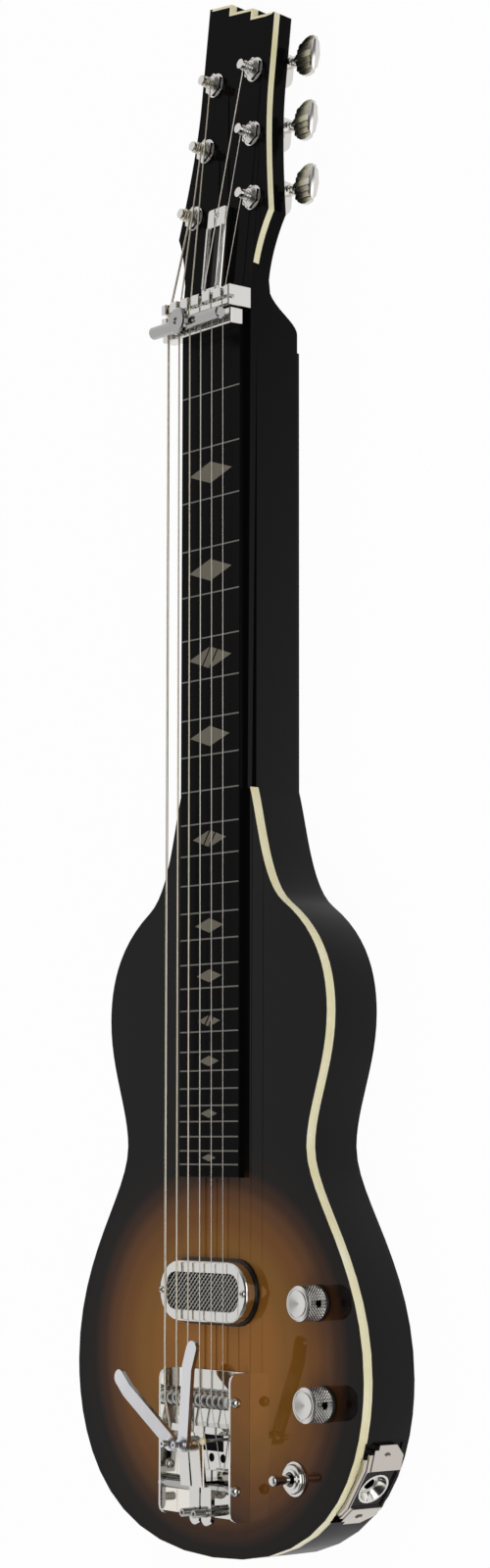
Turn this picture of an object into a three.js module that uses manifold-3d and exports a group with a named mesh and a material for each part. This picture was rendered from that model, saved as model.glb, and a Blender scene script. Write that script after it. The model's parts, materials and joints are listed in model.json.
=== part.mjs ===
// Lap steel guitar with an open palm-bender bridge and a sliding capo nut.
// Lengths are millimetres. X points to the treble side, Y along the neck to the
// headstock and Z up from the back. The sizes below are measured from two places:
// the speaking edge of the nut (Y = 0) and the flat top face of the body (Z = 0).
import * as THREE from 'three';
import { mergeVertices } from 'three/addons/utils/BufferGeometryUtils.js';
import Module from 'manifold-3d';

const wasm = await Module();
wasm.setup();

// Body and neck, cut from one board
const bodyThickness = 35;
const neckHalfWidth = 31.4;
const bindingStart = 264;
const upperBoutHalfWidth = 97.5;
const upperBoutAt = 391;
const waistHalfWidth = 80.3;
const waistAt = 464;
const lowerBoutHalfWidth = 127;
const lowerBoutAt = 587;
const tailAt = 689;
const backEdgeRadius = 1;
const flareStartAngle = 19;
const shoulderAngle = 59;
const flareShares = {
  shoulderX: 0.445, shoulderY: 0.52, start: 0.174, before: 0.169, after: 0.283, end: 0.151,
};
const waistInShares = { start: 0.394, end: 0.294 };
const waistOutShares = { start: 0.225, end: 0.498 };
const tailShares = { start: 0.326, end: 0.884 };

// Headstock, tilted back behind the nut
const headTiltAngle = 6;
const headTiltAt = 22;
const headThickness = 13.3;
const headCurveStart = 8;
const headWideHalf = 41.8;
const headWideAt = 45;
const headTipHalf = 31.4;
const headNarrowAt = 125;
const headLength = 187;
const headStepSlope = 2.8;
const headStepDrop = 5.6;
const headStepCount = 3;
const heelEnd = 27;
const headCurveShares = { start: 0.38, endX: 0.51, endY: 0.76 };
const headTaperShares = { startX: 0.48, startY: 0.31, end: 0.31 };
const heelShares = { start: 0.3, end: 0.5 };

// Ivory edge bindings
const bindingWidth = 2;
const bindingHeight = 4.5;
const headBindingWidth = 1.5;
const headBindingHeight = 4;
const headBindingStart = 12;
const headBindingTaper = 20;
const glueLine = 0.05;

// Fretboard and back pad
const fretboardHalfWidth = 27.05;
const fretboardHeight = 4;
const fretboardEnd = 481;
const fretboardEdge = 0.5;
const padThickness = 2.4;
const padInset = 1.4;
const padStart = 9;
const padEdge = 0.5;

// Nut block and sliding capo
const nutFront = 9.9;
const nutLength = 11.7;
const nutHeight = 16.2;
const nutEdge = 0.6;
const nutRailLength = 3.4;
const nutGrooveLength = 2.4;
const nutGrooveDepth = 4.2;
const nutSlotClearance = 0.3;
const nutRearSlotClearance = 1.4;
const nutRearSlotDepth = 4.6;
const capoOffset = -2.3;
const capoLength = 63.5;
const capoDepth = 9.5;
const capoJawHeight = 8.9;
const capoJawEdge = 0.7;
const capoBarRadius = 3.75;
const capoBarEdge = 0.9;
const capoScrewRadius = 1.9;
const capoScrewEnd = 2.5;
const thumbWheelRadius = 7.9;
const thumbWheelHeight = 4.2;
const thumbWheelGrooveDepth = 0.35;
const thumbWheelGrooves = 20;
const thumbWheelDimpleRadius = 2.1;
const thumbWheelDimpleDepth = 1;
const capoTravelGap = 0.3;

// Strings, bass to treble
const stringSpacing = 10.2;
const stringDiameters = { low: 1.42, fifth: 1.07, fourth: 0.91, third: 0.66, second: 0.46, high: 0.36 };
const stringTopAtNut = 15.8;
const stringSeatGap = 0.08;
const windingTurns = 2;
const windingSteps = 8;
const windingSides = 5;
const windingGap = 0.45;
const windingDrop = 0.1;
const windingStart = 6.9;

// Tuning machines, three a side
const postRowShares = { first: 0.293, spacing: 0.215 };
const postInset = { first: 26.9, second: 21.3, third: 18.2 };
const postRadius = 2.95;
const postWaistRadius = 2.1;
const postHeight = 11.9;
const postWaistStart = 5.6;
const postWaistEnd = 10.8;
const postFlareHeight = 0.4;
const postRunGap = 0.2;
const postDepth = 19;
const bushingRadius = 5;
const bushingHoleGap = 0.15;
const bushingHexRadius = 7;
const bushingHexHeight = 2.1;
const bushingDomeHeight = 1.9;
const bushingRimRadius = 4.2;
const bushingShoulderRadius = 6;
const washerRadius = 7.3;
const washerHeight = 0.9;
const machineWidth = 16;
const machineLength = 20;
const machineDepth = 8.4;
const machineCorner = 4;
const machineShift = 2.4;
const machineBack = 3;
const machineSeatGap = 0.15;
const wormOffset = 7.3;
const wormDepth = 4.4;
const stemRadius = 2;
const stemBossRadius = 3.6;
const stemBossLength = 2;
const buttonReach = 24.6;
const buttonLength = 13;
const buttonWidth = 24;
const buttonThickness = 7;
const buttonStepHeight = 0.75;
const buttonStepCount = 3;
const buttonDome = 2.8;
const buttonOvalHalf = 11;
const buttonOvalShift = 2;
const buttonDomeInset = 1.2;
const buttonCollarRadius = 3.3;
const buttonCollarLength = 3;

// Truss rod cover
const rodCoverStart = 1.2;
const rodCoverLength = 53;
const rodCoverWidth = 17.6;
const rodCoverHeight = 5;
const rodCoverCorner = 2.2;
const rodWindowWidth = 9.4;
const rodWindowLength = 37;
const rodWindowFront = 4;
const rodInsertDrop = 1.6;
const rodInsertGap = 0.2;
const rodRailWidth = 1.6;
const rodRailHeight = 1.3;

// Pickup
const pickupAt = 544;
const pickupLength = 78.5;
const pickupWidth = 34;
const pickupCoverLow = 1.9;
const pickupCoverTop = 8.5;
const pickupWall = 1.1;
const pickupEdge = 1.6;
const pickupWindowLength = 64;
const pickupWindowWidth = 21;
const pickupWindowCorner = 7;
const pickupRingMargin = 1.6;
const pickupRingWall = 4;
const grilleThickness = 0.6;
const grilleMargin = 2;
const grillePitch = 3.9;
const grilleHoleShare = 0.7;
const grilleAcross = 15;
const grilleAlong = 5;
const coilLength = 66;
const coilWidth = 22;
const coilTop = 5.2;
const coilDepth = 12;
const coilFlange = 1.5;
const coilWaist = 2.2;
const coilPocketGap = 1;

// Controls
const volumeKnobAt = { fromEdge: 36, y: 547 };
const toneKnobAt = { fromEdge: 31, y: 600 };
const toggleAt = { fromEdge: 56, y: 641 };
const knobRadius = 9.75;
const knobHeight = 14.2;
const knobTopEdge = 0.7;
const knobRingWidth = 1.3;
const knobRingDepth = 0.6;
const knobDishDepth = 0.9;
const knobBoreDepth = 10;
const knobKnurls = 30;
const knobKnurlDepth = 0.3;
const knobLift = 1.8;
const knobRunGap = 0.3;
const potRadius = 11.5;
const potHeight = 8.5;
const potBushingRadius = 4.6;
const potNutRadius = 6.4;
const potNutHeight = 1.2;
const potShaftRadius = 3;
const potShaftGap = 0.2;
const potShaftLength = 11;
const controlTopWall = 6;
const cavityRadius = 15.5;
const toggleCavityRadius = 12;
const coverLip = 4.5;
const coverThickness = 2;
const coverGap = 0.3;
const padWindowMargin = 3;
const switchBodyWidth = 13;
const switchBodyLength = 18;
const switchBodyDepth = 14;
const switchBushingRadius = 5.7;
const switchBushingHeight = 4.2;
const switchNutRadius = 8.1;
const switchNutHeight = 2.2;
const switchWasherRadius = 9.4;
const switchWasherHeight = 0.9;
const switchMouthRadius = 4;
const switchPivotDrop = 1.5;
const batHeight = 17;
const batRadius = 2.5;
const batTipRadius = 2.9;
const batTipLength = 4.5;
const batRootRadius = 1.8;
const batPivotRadius = 2.3;
const batDome = 1;

// Output jack on the treble flank
const jackAt = 642.9;
const jackPlateLength = 54.5;
const jackPlateWidth = 26;
const jackPlateThickness = 3.6;
const jackPlateStep = 2.7;
const jackStepCount = 3;
const jackTerraceDrop = 0.5;
const jackMiddleLength = 25.5;
const jackBendAngle = 18;
const jackPlateChamfer = 6;
const jackFlatDepth = 0.8;
const jackSquareLength = 24.3;
const jackSquareWidth = 21.5;
const jackSquareDepth = 1.2;
const jackSquareDrop = 1;
const jackLipHeight = 0.5;
const jackCupRadius = 9.6;
const jackCupWall = 1.3;
const jackCupDepth = 4.5;
const jackCupFloor = 2.2;
const jackHoleRadius = 3.3;
const jackNutRadius = 4.6;
const jackNutHeight = 0.9;
const jackBarrelLength = 15;
const jackBarrelRadius = 5.2;
const jackHeight = 18.1;
const jackCavityGap = 1;
const jackFlatGap = 0.3;
const jackSeatGap = 0.1;
const jackScrewInset = 6.7;
const jackScrewDrop = 1.5;
const jackScrewRadius = 2.7;
const jackScrewHeight = 0.9;

// Bender bridge
const bridgeHalfWidth = 32;
const bridgeFront = 587;
const bridgeLength = 80;
const bridgeSheet = 1.6;
const bridgeWallHeight = 13.6;
const bridgeWallCorner = 5;
const bridgeWindowOffset = 2;
const bridgeWindowWidth = 18;
const bridgeWindowStart = 621.5;
const bridgeWindowLength = 9.5;
const bridgeHoleRadius = 2.4;
const bridgeHoleAt = 634.6;
const bridgeHolePlaces = { left: 0.5, right: 10.5 };
const saddleAt = 602.8;
const saddleRadius = 4.6;
const saddleGrooveDepth = 1.3;
const saddleGroovePitch = 5.1;
const saddleHeight = 10.1;
const saddleGrooveShare = 1 / 3;
const saddleEndGap = 0.3;
const screwHeadRadius = 3.1;
const screwHeadHeight = 1.9;
const screwHeadShares = { edge: 0.8, side: 0.7 };
const anchorAt = 617;
const anchorLength = 4;
const anchorHeight = 10.6;
const anchorSlotGap = 0.5;
const anchorSlotBottom = 8.4;
const anchorStringTail = 2;
const axleAt = 650;
const axleHeight = 10.1;
const axleRadius = 2.6;
const axleGap = 0.12;

// Bell cranks and palm levers
const crankWidth = 8.8;
const crankHubRadius = 5.1;
const crankTailEnd = 669.5;
const crankTailTop = 17.3;
const crankTailThickness = 2.8;
const crankArmLow = 23.4;
const crankArmHigh = 26;
const crankArmThickness = 3;
const crankArmFront = 622.5;
const crankRiserThickness = 3.4;
const crankNoseAt = 640.5;
const crankNoseTop = 9.2;
const crankNoseBottom = 4.6;
const leverPinAt = 624.8;
const leverPinRadius = 4.3;
const leverPinHeight = 5.6;
const leverThickness = 2.5;
const leverWidth = 8.4;
const leverRise = 7.5;
const leverTip = 15;
const leverTipDrop = 3;
const leverCapRadius = 3.9;
const leverCapHeight = 2.6;
const leverCapShares = { edge: 0.75, side: 0.8 };
const leverScrewRadius = 1.9;
const leverScrewHeight = 8.2;
const leverSocketRadius = 1;
const leverSocketDepth = 1.6;
const leverSeatGap = 0.3;
const leverAngles = { left: 50.5, right: -15.5 };
const leverLengths = { left: 57, right: 58.5 };
const stopScrewAt = 662.5;
const stopScrewRadius = 2.3;
const stopScrewTop = 26;
const stopScrewGap = 0.3;
const stopScrewHole = 0.15;

// Facets
const curveSteps = 12;
const smoothSides = 20;
const smallSides = 12;
const boreSides = 8;
const cornerSteps = 3;
const overrun = 1;
const closeness = 0.001;

const degrees = THREE.MathUtils.degToRad;
const point = (x, y) => new THREE.Vector2(x, y);
const place = (x, y, z) => new THREE.Vector3(x, y, z);

// Joining and cutting of closed shapes

function welded(geometry) {
  const bare = geometry.clone();
  bare.deleteAttribute('normal');
  bare.deleteAttribute('uv');
  const merged = mergeVertices(bare, closeness);
  const corners = merged.index.array;
  const kept = [];
  for (let i = 0; i < corners.length; i += 3) {
    const [a, b, c] = [corners[i], corners[i + 1], corners[i + 2]];
    if (a !== b && b !== c && c !== a) kept.push(a, b, c);
  }
  merged.setIndex(kept);
  return merged;
}

function solidOf(geometry) {
  const mesh = welded(geometry);
  const vertProperties = new Float32Array(mesh.attributes.position.array);
  const triVerts = new Uint32Array(mesh.index.array);
  return new wasm.Manifold(new wasm.Mesh({ numProp: 3, vertProperties, triVerts }));
}

function geometryOf(solid) {
  const mesh = solid.getMesh();
  const geometry = new THREE.BufferGeometry();
  geometry.setAttribute('position', new THREE.BufferAttribute(new Float32Array(mesh.vertProperties), 3));
  geometry.setIndex(Array.from(mesh.triVerts));
  return geometry;
}

function joined(...geometries) {
  return geometryOf(geometries.map(solidOf).reduce((whole, next) => whole.add(next)));
}

function cut(geometry, ...cutters) {
  const start = solidOf(geometry);
  return geometryOf(cutters.map(solidOf).reduce((whole, next) => whole.subtract(next), start));
}

function shared(geometry, other) {
  return geometryOf(solidOf(geometry).intersect(solidOf(other)));
}

function moved(geometry, x, y, z) {
  return geometry.clone().translate(x, y, z);
}

// Flat outlines, counter-clockwise

function circleOutline(radius, sides) {
  const step = (2 * Math.PI) / sides;
  const corner = (_, i) => point(radius * Math.cos(i * step), radius * Math.sin(i * step));
  return Array.from({ length: sides }, corner);
}

function roundedOutline(width, length, corner, steps = cornerSteps) {
  const [x, y] = [width / 2 - corner, length / 2 - corner];
  const centres = [[x, y], [-x, y], [-x, -y], [x, -y]];
  const outline = centres.flatMap(([cx, cy], quarter) => {
    const arc = [];
    for (let i = 0; i <= steps; i += 1) {
      const angle = ((quarter + i / steps) * Math.PI) / 2;
      arc.push(point(cx + corner * Math.cos(angle), cy + corner * Math.sin(angle)));
    }
    return arc;
  });
  return distinct(outline);
}

// Leaves out a point that repeats the one before it, such as where two arcs meet.
function distinct(outline) {
  const count = outline.length;
  return outline.filter((p, i) => p.distanceTo(outline[(i + count - 1) % count]) > closeness);
}

function boxOutline(width, length) {
  const [x, y] = [width / 2, length / 2];
  return [point(x, y), point(-x, y), point(-x, -y), point(x, -y)];
}

// Moves each point inwards along its mitre; distanceAt gives the amount point by point.
function insetLine(points, distanceAt, closed = true) {
  const count = points.length;
  return points.map((here, i) => {
    const before = closed || i > 0 ? points[(i + count - 1) % count] : null;
    const after = closed || i < count - 1 ? points[(i + 1) % count] : null;
    const normals = [before && leftOf(before, here), after && leftOf(here, after)].filter(Boolean);
    const sum = normals.reduce((total, n) => total.add(n), point(0, 0));
    const spread = normals.length === 2 ? sum.lengthSq() / 2 : 1;
    return here.clone().addScaledVector(sum, distanceAt(here, i) / spread);
  });
}

function leftOf(from, to) {
  const along = to.clone().sub(from).normalize();
  return point(-along.y, along.x);
}

const inset = (points, distance) => (distance === 0 ? points : insetLine(points, () => distance));

// Closed skins

// Rings hold the same number of points, ordered counter-clockwise seen from the last ring.
function skinned(rings, capFaces) {
  const count = rings[0].length;
  const positions = rings.flat().flatMap((p) => [p.x, p.y, p.z]);
  const faces = [];
  for (let ring = 0; ring < rings.length - 1; ring += 1) {
    for (let i = 0; i < count; i += 1) {
      const next = (i + 1) % count;
      const [a, b] = [ring * count + i, ring * count + next];
      faces.push(a, b, b + count, a, b + count, a + count);
    }
  }
  const last = (rings.length - 1) * count;
  capFaces.forEach(([a, b, c]) => faces.push(c, b, a, last + a, last + b, last + c));
  const geometry = new THREE.BufferGeometry();
  geometry.setAttribute('position', new THREE.BufferAttribute(new Float32Array(positions), 3));
  geometry.setIndex(faces);
  return geometry;
}

// A slab whose outline steps inwards or outwards from layer to layer, lowest layer first.
function layered(outline, layers) {
  const ringAt = ([height, amount]) => inset(outline, amount).map((p) => place(p.x, p.y, height));
  const rings = layers.map(ringAt);
  return skinned(rings, THREE.ShapeUtils.triangulateShape(outline, []));
}

const slab = (outline, low, high) => layered(outline, [[low, 0], [high, 0]]);

function fanFaces(count) {
  return Array.from({ length: count - 2 }, (_, i) => [0, i + 1, i + 2]);
}

// Layers of a rounded lower edge, from the flat underside up to the full outline.
function roundedFoot(low, radius, steps = cornerSteps) {
  const layers = [];
  for (let i = 0; i <= steps; i += 1) {
    const angle = ((i / steps) * Math.PI) / 2;
    layers.push([low + radius * (1 - Math.cos(angle)), radius * (1 - Math.sin(angle))]);
  }
  return layers;
}

// Turned shapes; a profile is a list of [radius, height], lowest first.
function turned(profile, sides = smoothSides) {
  const points = profile.map(([radius, height]) => point(radius, height));
  return welded(new THREE.LatheGeometry(points, sides)).rotateX(Math.PI / 2);
}

function rod(radius, low, high, sides = smallSides) {
  return turned([[0, low], [radius, low], [radius, high], [0, high]], sides);
}

const alongX = (geometry) => geometry.rotateY(Math.PI / 2);

function block(width, length, height, x, y, z) {
  return new THREE.BoxGeometry(width, length, height).translate(x, y, z + height / 2);
}

// A side view drawn counter-clockwise as [Y, Z] points and extruded across X.
function sideProfile(points, width, x) {
  const outline = points.map(([y, z]) => point(y, z));
  const flat = slab(outline, -width / 2, width / 2);
  const toSide = new THREE.Matrix4().makeBasis(place(0, 1, 0), place(0, 0, 1), place(1, 0, 0));
  return flat.applyMatrix4(toSide).translate(x, 0, 0);
}

// A taut wire through given points: its corners stay where the wire bears on something.
class WireRoute extends THREE.Curve {
  constructor(points) {
    super();
    this.points = points;
  }

  getPoint(t) {
    const scaled = t * (this.points.length - 1);
    const index = Math.min(Math.floor(scaled), this.points.length - 2);
    return this.points[index].clone().lerp(this.points[index + 1], scaled - index);
  }

  getPointAt(u) {
    return this.getPoint(u);
  }

  getTangentAt(u) {
    const index = Math.round(u * (this.points.length - 1));
    const before = this.points[Math.max(index - 1, 0)];
    const after = this.points[Math.min(index + 1, this.points.length - 1)];
    return after.clone().sub(before).normalize();
  }
}

function wire(points, radius, sides) {
  const section = new THREE.Shape(circleOutline(radius, sides));
  const settings = { extrudePath: new WireRoute(points), steps: points.length - 1, bevelEnabled: false };
  return welded(new THREE.ExtrudeGeometry(section, settings));
}

// Finishes and the model tree

const finishes = {
  lacquer: { color: 0x2a1608, roughness: 0.08, metalness: 0 },
  ivory: { color: 0xe9e2bd, roughness: 0.35, metalness: 0 },
  ebony: { color: 0x15120f, roughness: 0.25, metalness: 0 },
  foam: { color: 0x0c0c0d, roughness: 0.9, metalness: 0 },
  chrome: { color: 0xdcdee0, roughness: 0.08, metalness: 1 },
  steel: { color: 0xb9bbbd, roughness: 0.25, metalness: 1 },
  bronze: { color: 0xb8a88c, roughness: 0.3, metalness: 1 },
  plastic: { color: 0x101011, roughness: 0.35, metalness: 0 },
  brass: { color: 0xb99a55, roughness: 0.3, metalness: 1 },
};

const guitar = new THREE.Group();
const headstock = new THREE.Group();
headstock.position.set(0, headTiltAt, 0);
headstock.rotation.x = -degrees(headTiltAngle);
guitar.add(headstock);

function piece(name, finish, geometry, parent = guitar) {
  const mesh = new THREE.Mesh(geometry, new THREE.MeshStandardMaterial(finishes[finish]));
  mesh.name = name;
  parent.add(mesh);
  return mesh;
}

// Places a point given in the headstock's own axes: across, along its face and above its face.
function onHead(x, along, above) {
  const [sin, cos] = [Math.sin(degrees(headTiltAngle)), Math.cos(degrees(headTiltAngle))];
  return place(x, headTiltAt + along * cos + above * sin, above * cos - along * sin);
}

const stringPlaces = Object.values(stringDiameters).map((diameter, i, all) => ({
  x: (i - (all.length - 1) / 2) * stringSpacing,
  radius: diameter / 2,
}));

// Body outline: right half from the binding's start to the tail, then mirrored

function heading(angle) {
  return point(Math.sin(degrees(angle)), -Math.cos(degrees(angle)));
}

function boutCurve(path, from, to, shares) {
  const drop = from.y - to.y;
  path.bezierCurveTo(from.x, from.y - shares.start * drop, to.x, to.y + shares.end * drop, to.x, to.y);
}

function rightEdge() {
  const start = point(neckHalfWidth, -bindingStart);
  const upper = point(upperBoutHalfWidth, -upperBoutAt);
  const waist = point(waistHalfWidth, -waistAt);
  const lower = point(lowerBoutHalfWidth, -lowerBoutAt);
  const flare = start.y - upper.y;
  const shoulder = point(
    start.x + flareShares.shoulderX * (upper.x - start.x),
    start.y - flareShares.shoulderY * flare,
  );
  const leave = start.clone().addScaledVector(heading(flareStartAngle), flareShares.start * flare);
  const reach = shoulder.clone().addScaledVector(heading(shoulderAngle), -flareShares.before * flare);
  const after = shoulder.clone().addScaledVector(heading(shoulderAngle), flareShares.after * flare);
  const tail = lower.y + tailAt;
  const edge = new THREE.Path();
  edge.moveTo(start.x, start.y);
  edge.bezierCurveTo(leave.x, leave.y, reach.x, reach.y, shoulder.x, shoulder.y);
  edge.bezierCurveTo(after.x, after.y, upper.x, upper.y + flareShares.end * flare, upper.x, upper.y);
  boutCurve(edge, upper, waist, waistInShares);
  boutCurve(edge, waist, lower, waistOutShares);
  edge.bezierCurveTo(
    lower.x, lower.y - tailShares.start * tail, tailShares.end * lower.x, -tailAt, 0, -tailAt,
  );
  return edge.getPoints(curveSteps);
}

const rightSide = rightEdge();

function boundEdge() {
  const leftSide = rightSide.slice(0, -1).map((p) => point(-p.x, p.y));
  return [...leftSide, ...rightSide.slice().reverse()];
}

// The bound edge as an open line, counter-clockwise from the bass corner to the treble corner.
const boundLine = boundEdge();

function bodyPlan(neckTop, boundInset) {
  const bound = boundInset === 0 ? boundLine : insetLine(boundLine, () => boundInset, false);
  return [point(-neckHalfWidth, neckTop), ...bound, point(neckHalfWidth, neckTop)];
}

// Headstock outline

function headSide() {
  const rise = headWideAt - headCurveStart;
  const swell = headWideHalf - neckHalfWidth;
  const fall = headNarrowAt - headWideAt;
  const waist = headWideHalf - headTipHalf;
  const side = new THREE.Path();
  side.moveTo(neckHalfWidth, 0);
  side.lineTo(neckHalfWidth, headCurveStart);
  side.bezierCurveTo(
    neckHalfWidth, headCurveStart + headCurveShares.start * rise,
    neckHalfWidth + headCurveShares.endX * swell, headCurveStart + headCurveShares.endY * rise,
    headWideHalf, headWideAt,
  );
  side.bezierCurveTo(
    headWideHalf - headTaperShares.startX * waist, headWideAt + headTaperShares.startY * fall,
    headTipHalf, headNarrowAt - headTaperShares.end * fall, headTipHalf, headNarrowAt,
  );
  return side.getPoints(curveSteps);
}

const headSideLine = headSide();

// The stepped tip, from the treble corner to the bass corner.
function headTip() {
  const stepWidth = (2 * headTipHalf) / headStepCount;
  const tip = [];
  for (let step = headStepCount - 1; step >= 0; step -= 1) {
    const left = -headTipHalf + step * stepWidth;
    const top = headLength - step * (headStepSlope + headStepDrop);
    tip.push(point(left + stepWidth, top - headStepSlope), point(left, top));
  }
  return tip;
}

function crossSection(halfWidth, top, bottom, radius, toPlace) {
  const foot = roundedFoot(bottom, radius).reverse();
  const right = foot.map(([height, amount]) => toPlace(halfWidth - amount, height));
  const left = foot.slice().reverse().map(([height, amount]) => toPlace(amount - halfWidth, height));
  return [toPlace(-halfWidth, top), toPlace(halfWidth, top), ...right, ...left].reverse();
}

// Neck end, heel and headstock as one loft of cross-sections.
function headLoft() {
  const sections = [];
  const heel = new THREE.CubicBezierCurve(
    point(0, -bodyThickness), point(heelShares.start * heelEnd, -bodyThickness),
    point(heelEnd - heelShares.end * heelEnd, -headThickness), point(heelEnd, -headThickness),
  );
  const upright = (y) => (x, z) => place(x, y, z);
  const tilted = (along) => (x, z) => onHead(x, along, z);
  sections.push(crossSection(neckHalfWidth, 0, -bodyThickness, backEdgeRadius, upright(-padStart)));
  heel.getPoints(curveSteps).filter((p) => p.x < headTiltAt - backEdgeRadius).forEach((p) => {
    sections.push(crossSection(neckHalfWidth, 0, p.y, backEdgeRadius, upright(p.x)));
  });
  headSideLine.filter((p) => p.y > 0).forEach((p) => {
    sections.push(crossSection(p.x, 0, -headThickness, backEdgeRadius, tilted(p.y)));
  });
  const beyondTip = tilted(headLength + overrun);
  sections.push(crossSection(headTipHalf, 0, -headThickness, backEdgeRadius, beyondTip));
  return skinned(sections.reverse(), fanFaces(sections[0].length));
}

function onHeadGeometry(geometry) {
  headstock.updateMatrix();
  return geometry.applyMatrix4(headstock.matrix);
}

function headTipWaste() {
  const beyond = headLength + 2 * overrun;
  const wide = headTipHalf + overrun;
  const tip = headTip();
  const outline = [
    point(wide, beyond), point(-wide, beyond), point(-wide, headLength),
    ...tip.slice().reverse(), point(wide, tip[0].y),
  ];
  return onHeadGeometry(slab(outline, -headThickness - overrun, overrun));
}

// The headstock's binding runs up the treble side, over the steps and down the bass side.
function headBindingLine(pointsBefore) {
  const first = headSideLine.findIndex((p) => p.y >= headBindingStart);
  const tip = headTip();
  const upSide = headSideLine.slice(first - pointsBefore).filter((p) => p.y < tip[0].y - overrun);
  const downSide = upSide.slice().reverse().map((p) => point(-p.x, p.y));
  return [...upSide, ...tip, ...downSide];
}

function headBindingWidthAt(p) {
  const along = Math.max(p.y - headBindingStart, 0);
  return headBindingWidth * Math.min(along / headBindingTaper, 1) + glueLine;
}

function headBindingStrip() {
  const line = headBindingLine(0);
  const inner = insetLine(line, headBindingWidthAt, false);
  return slab([...line, ...inner.reverse()], -headBindingHeight, 0);
}

function headBindingSlot() {
  const line = headBindingLine(1);
  const inner = insetLine(line, (p) => headBindingWidthAt(p) + glueLine, false);
  const outer = insetLine(line, () => -overrun, false);
  return slab([...outer, ...inner.reverse()], -headBindingHeight - glueLine, overrun);
}

// Control cavity under the knobs and the switch, and the matching plate

function stadiumBetween(from, to, fromRadius, toRadius) {
  const facing = Math.atan2(to.y - from.y, to.x - from.x);
  const lean = Math.asin((fromRadius - toRadius) / from.distanceTo(to));
  const outline = [];
  const arc = (centre, radius, start, end) => {
    for (let i = 0; i <= smallSides; i += 1) {
      const angle = start + ((end - start) * i) / smallSides;
      outline.push(point(centre.x + radius * Math.cos(angle), centre.y + radius * Math.sin(angle)));
    }
  };
  const quarter = Math.PI / 2;
  arc(to, toRadius, facing - quarter + lean, facing + quarter - lean);
  arc(from, fromRadius, facing + quarter - lean, facing + 3 * quarter + lean);
  return outline;
}

const volumePlace = point(lowerBoutHalfWidth - volumeKnobAt.fromEdge, -volumeKnobAt.y);
const tonePlace = point(lowerBoutHalfWidth - toneKnobAt.fromEdge, -toneKnobAt.y);
const togglePlace = point(lowerBoutHalfWidth - toggleAt.fromEdge, -toggleAt.y);

function controlChain(margin, low, high) {
  const knobs = stadiumBetween(volumePlace, tonePlace, cavityRadius + margin, cavityRadius + margin);
  const toggle = stadiumBetween(tonePlace, togglePlace, cavityRadius + margin, toggleCavityRadius + margin);
  return joined(slab(knobs, low, high), slab(toggle, low, high));
}

// The jack's own axes: X along the flank, Y towards the top face, Z out of the flank.
function flankAt(distance) {
  const index = rightSide.findIndex((p) => p.y < -distance);
  const [above, below] = [rightSide[index - 1], rightSide[index]];
  const share = (above.y + distance) / (above.y - below.y);
  return { spot: above.clone().lerp(below, share), along: above.clone().sub(below).normalize() };
}

const flank = flankAt(jackAt);
const jack = new THREE.Group();
const jackOut = place(flank.along.y, -flank.along.x, 0);
jack.position.set(flank.spot.x, flank.spot.y, -jackHeight);
jack.position.addScaledVector(jackOut, -jackFlatDepth);
jack.quaternion.setFromRotationMatrix(
  new THREE.Matrix4().makeBasis(place(flank.along.x, flank.along.y, 0), place(0, 0, 1), jackOut),
);
jack.updateMatrix();
guitar.add(jack);

// Both ends of the jack plate are bent back to follow the flank; the bend is on the outer face.
function jackBent(geometry, side) {
  return geometry.translate(0, 0, -jackPlateThickness)
    .rotateY(side * degrees(jackBendAngle))
    .translate(side * (jackMiddleLength / 2), 0, jackPlateThickness);
}

const jackEndLength = (jackPlateLength - jackMiddleLength) / 2;

function jackCutters() {
  const width = jackPlateWidth + 2 * jackFlatGap;
  const height = 2 * jackPlateThickness;
  const middle = block(jackMiddleLength, width, height, 0, 0, -jackSeatGap);
  const ends = [-1, 1].map((side) => {
    const length = jackEndLength + jackFlatGap;
    return jackBent(block(length, width, height, (side * length) / 2, 0, -jackSeatGap), side);
  });
  const depth = jackBarrelLength + jackCupDepth + 2 * jackCavityGap;
  const bore = moved(rod(jackCupRadius + jackCavityGap, -depth, overrun), 0, -jackSquareDrop, 0);
  return [middle, ...ends, bore].map((cutter) => cutter.applyMatrix4(jack.matrix));
}

function body() {
  const rabbet = bindingWidth + glueLine;
  const shelf = -bindingHeight - glueLine;
  const foot = roundedFoot(-bodyThickness, backEdgeRadius);
  const lower = layered(bodyPlan(0, 0), [...foot, [shelf, 0]]);
  const upper = slab(bodyPlan(0, rabbet), shelf - overrun, 0);
  const blank = joined(lower, upper, headLoft());
  const pickupPocket = slab(
    roundedOutline(coilLength + 2 * coilPocketGap, coilWidth + 2 * coilPocketGap, coilWidth / 2),
    -coilDepth, overrun,
  ).translate(0, -pickupAt, 0);
  const controls = controlChain(0, -bodyThickness - overrun, -controlTopWall);
  const coverTop = -bodyThickness + coverThickness + coverGap;
  const coverSeat = controlChain(coverLip, -bodyThickness - overrun, coverTop);
  const shaftHoles = [volumePlace, tonePlace].map((p) => (
    moved(rod(potBushingRadius + potShaftGap, -bodyThickness, overrun), p.x, p.y, 0)
  ));
  const switchHole = moved(
    rod(switchBushingRadius + potShaftGap, -bodyThickness, overrun), togglePlace.x, togglePlace.y, 0,
  );
  return cut(
    blank, headTipWaste(), onHeadGeometry(headBindingSlot()), pickupPocket, controls, coverSeat,
    ...shaftHoles, switchHole, ...jackCutters(), ...machineHoles(),
  );
}

function bodyBinding() {
  const inner = insetLine(boundLine, () => bindingWidth, false);
  return slab([...boundLine, ...inner.reverse()], -bindingHeight, 0);
}

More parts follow.
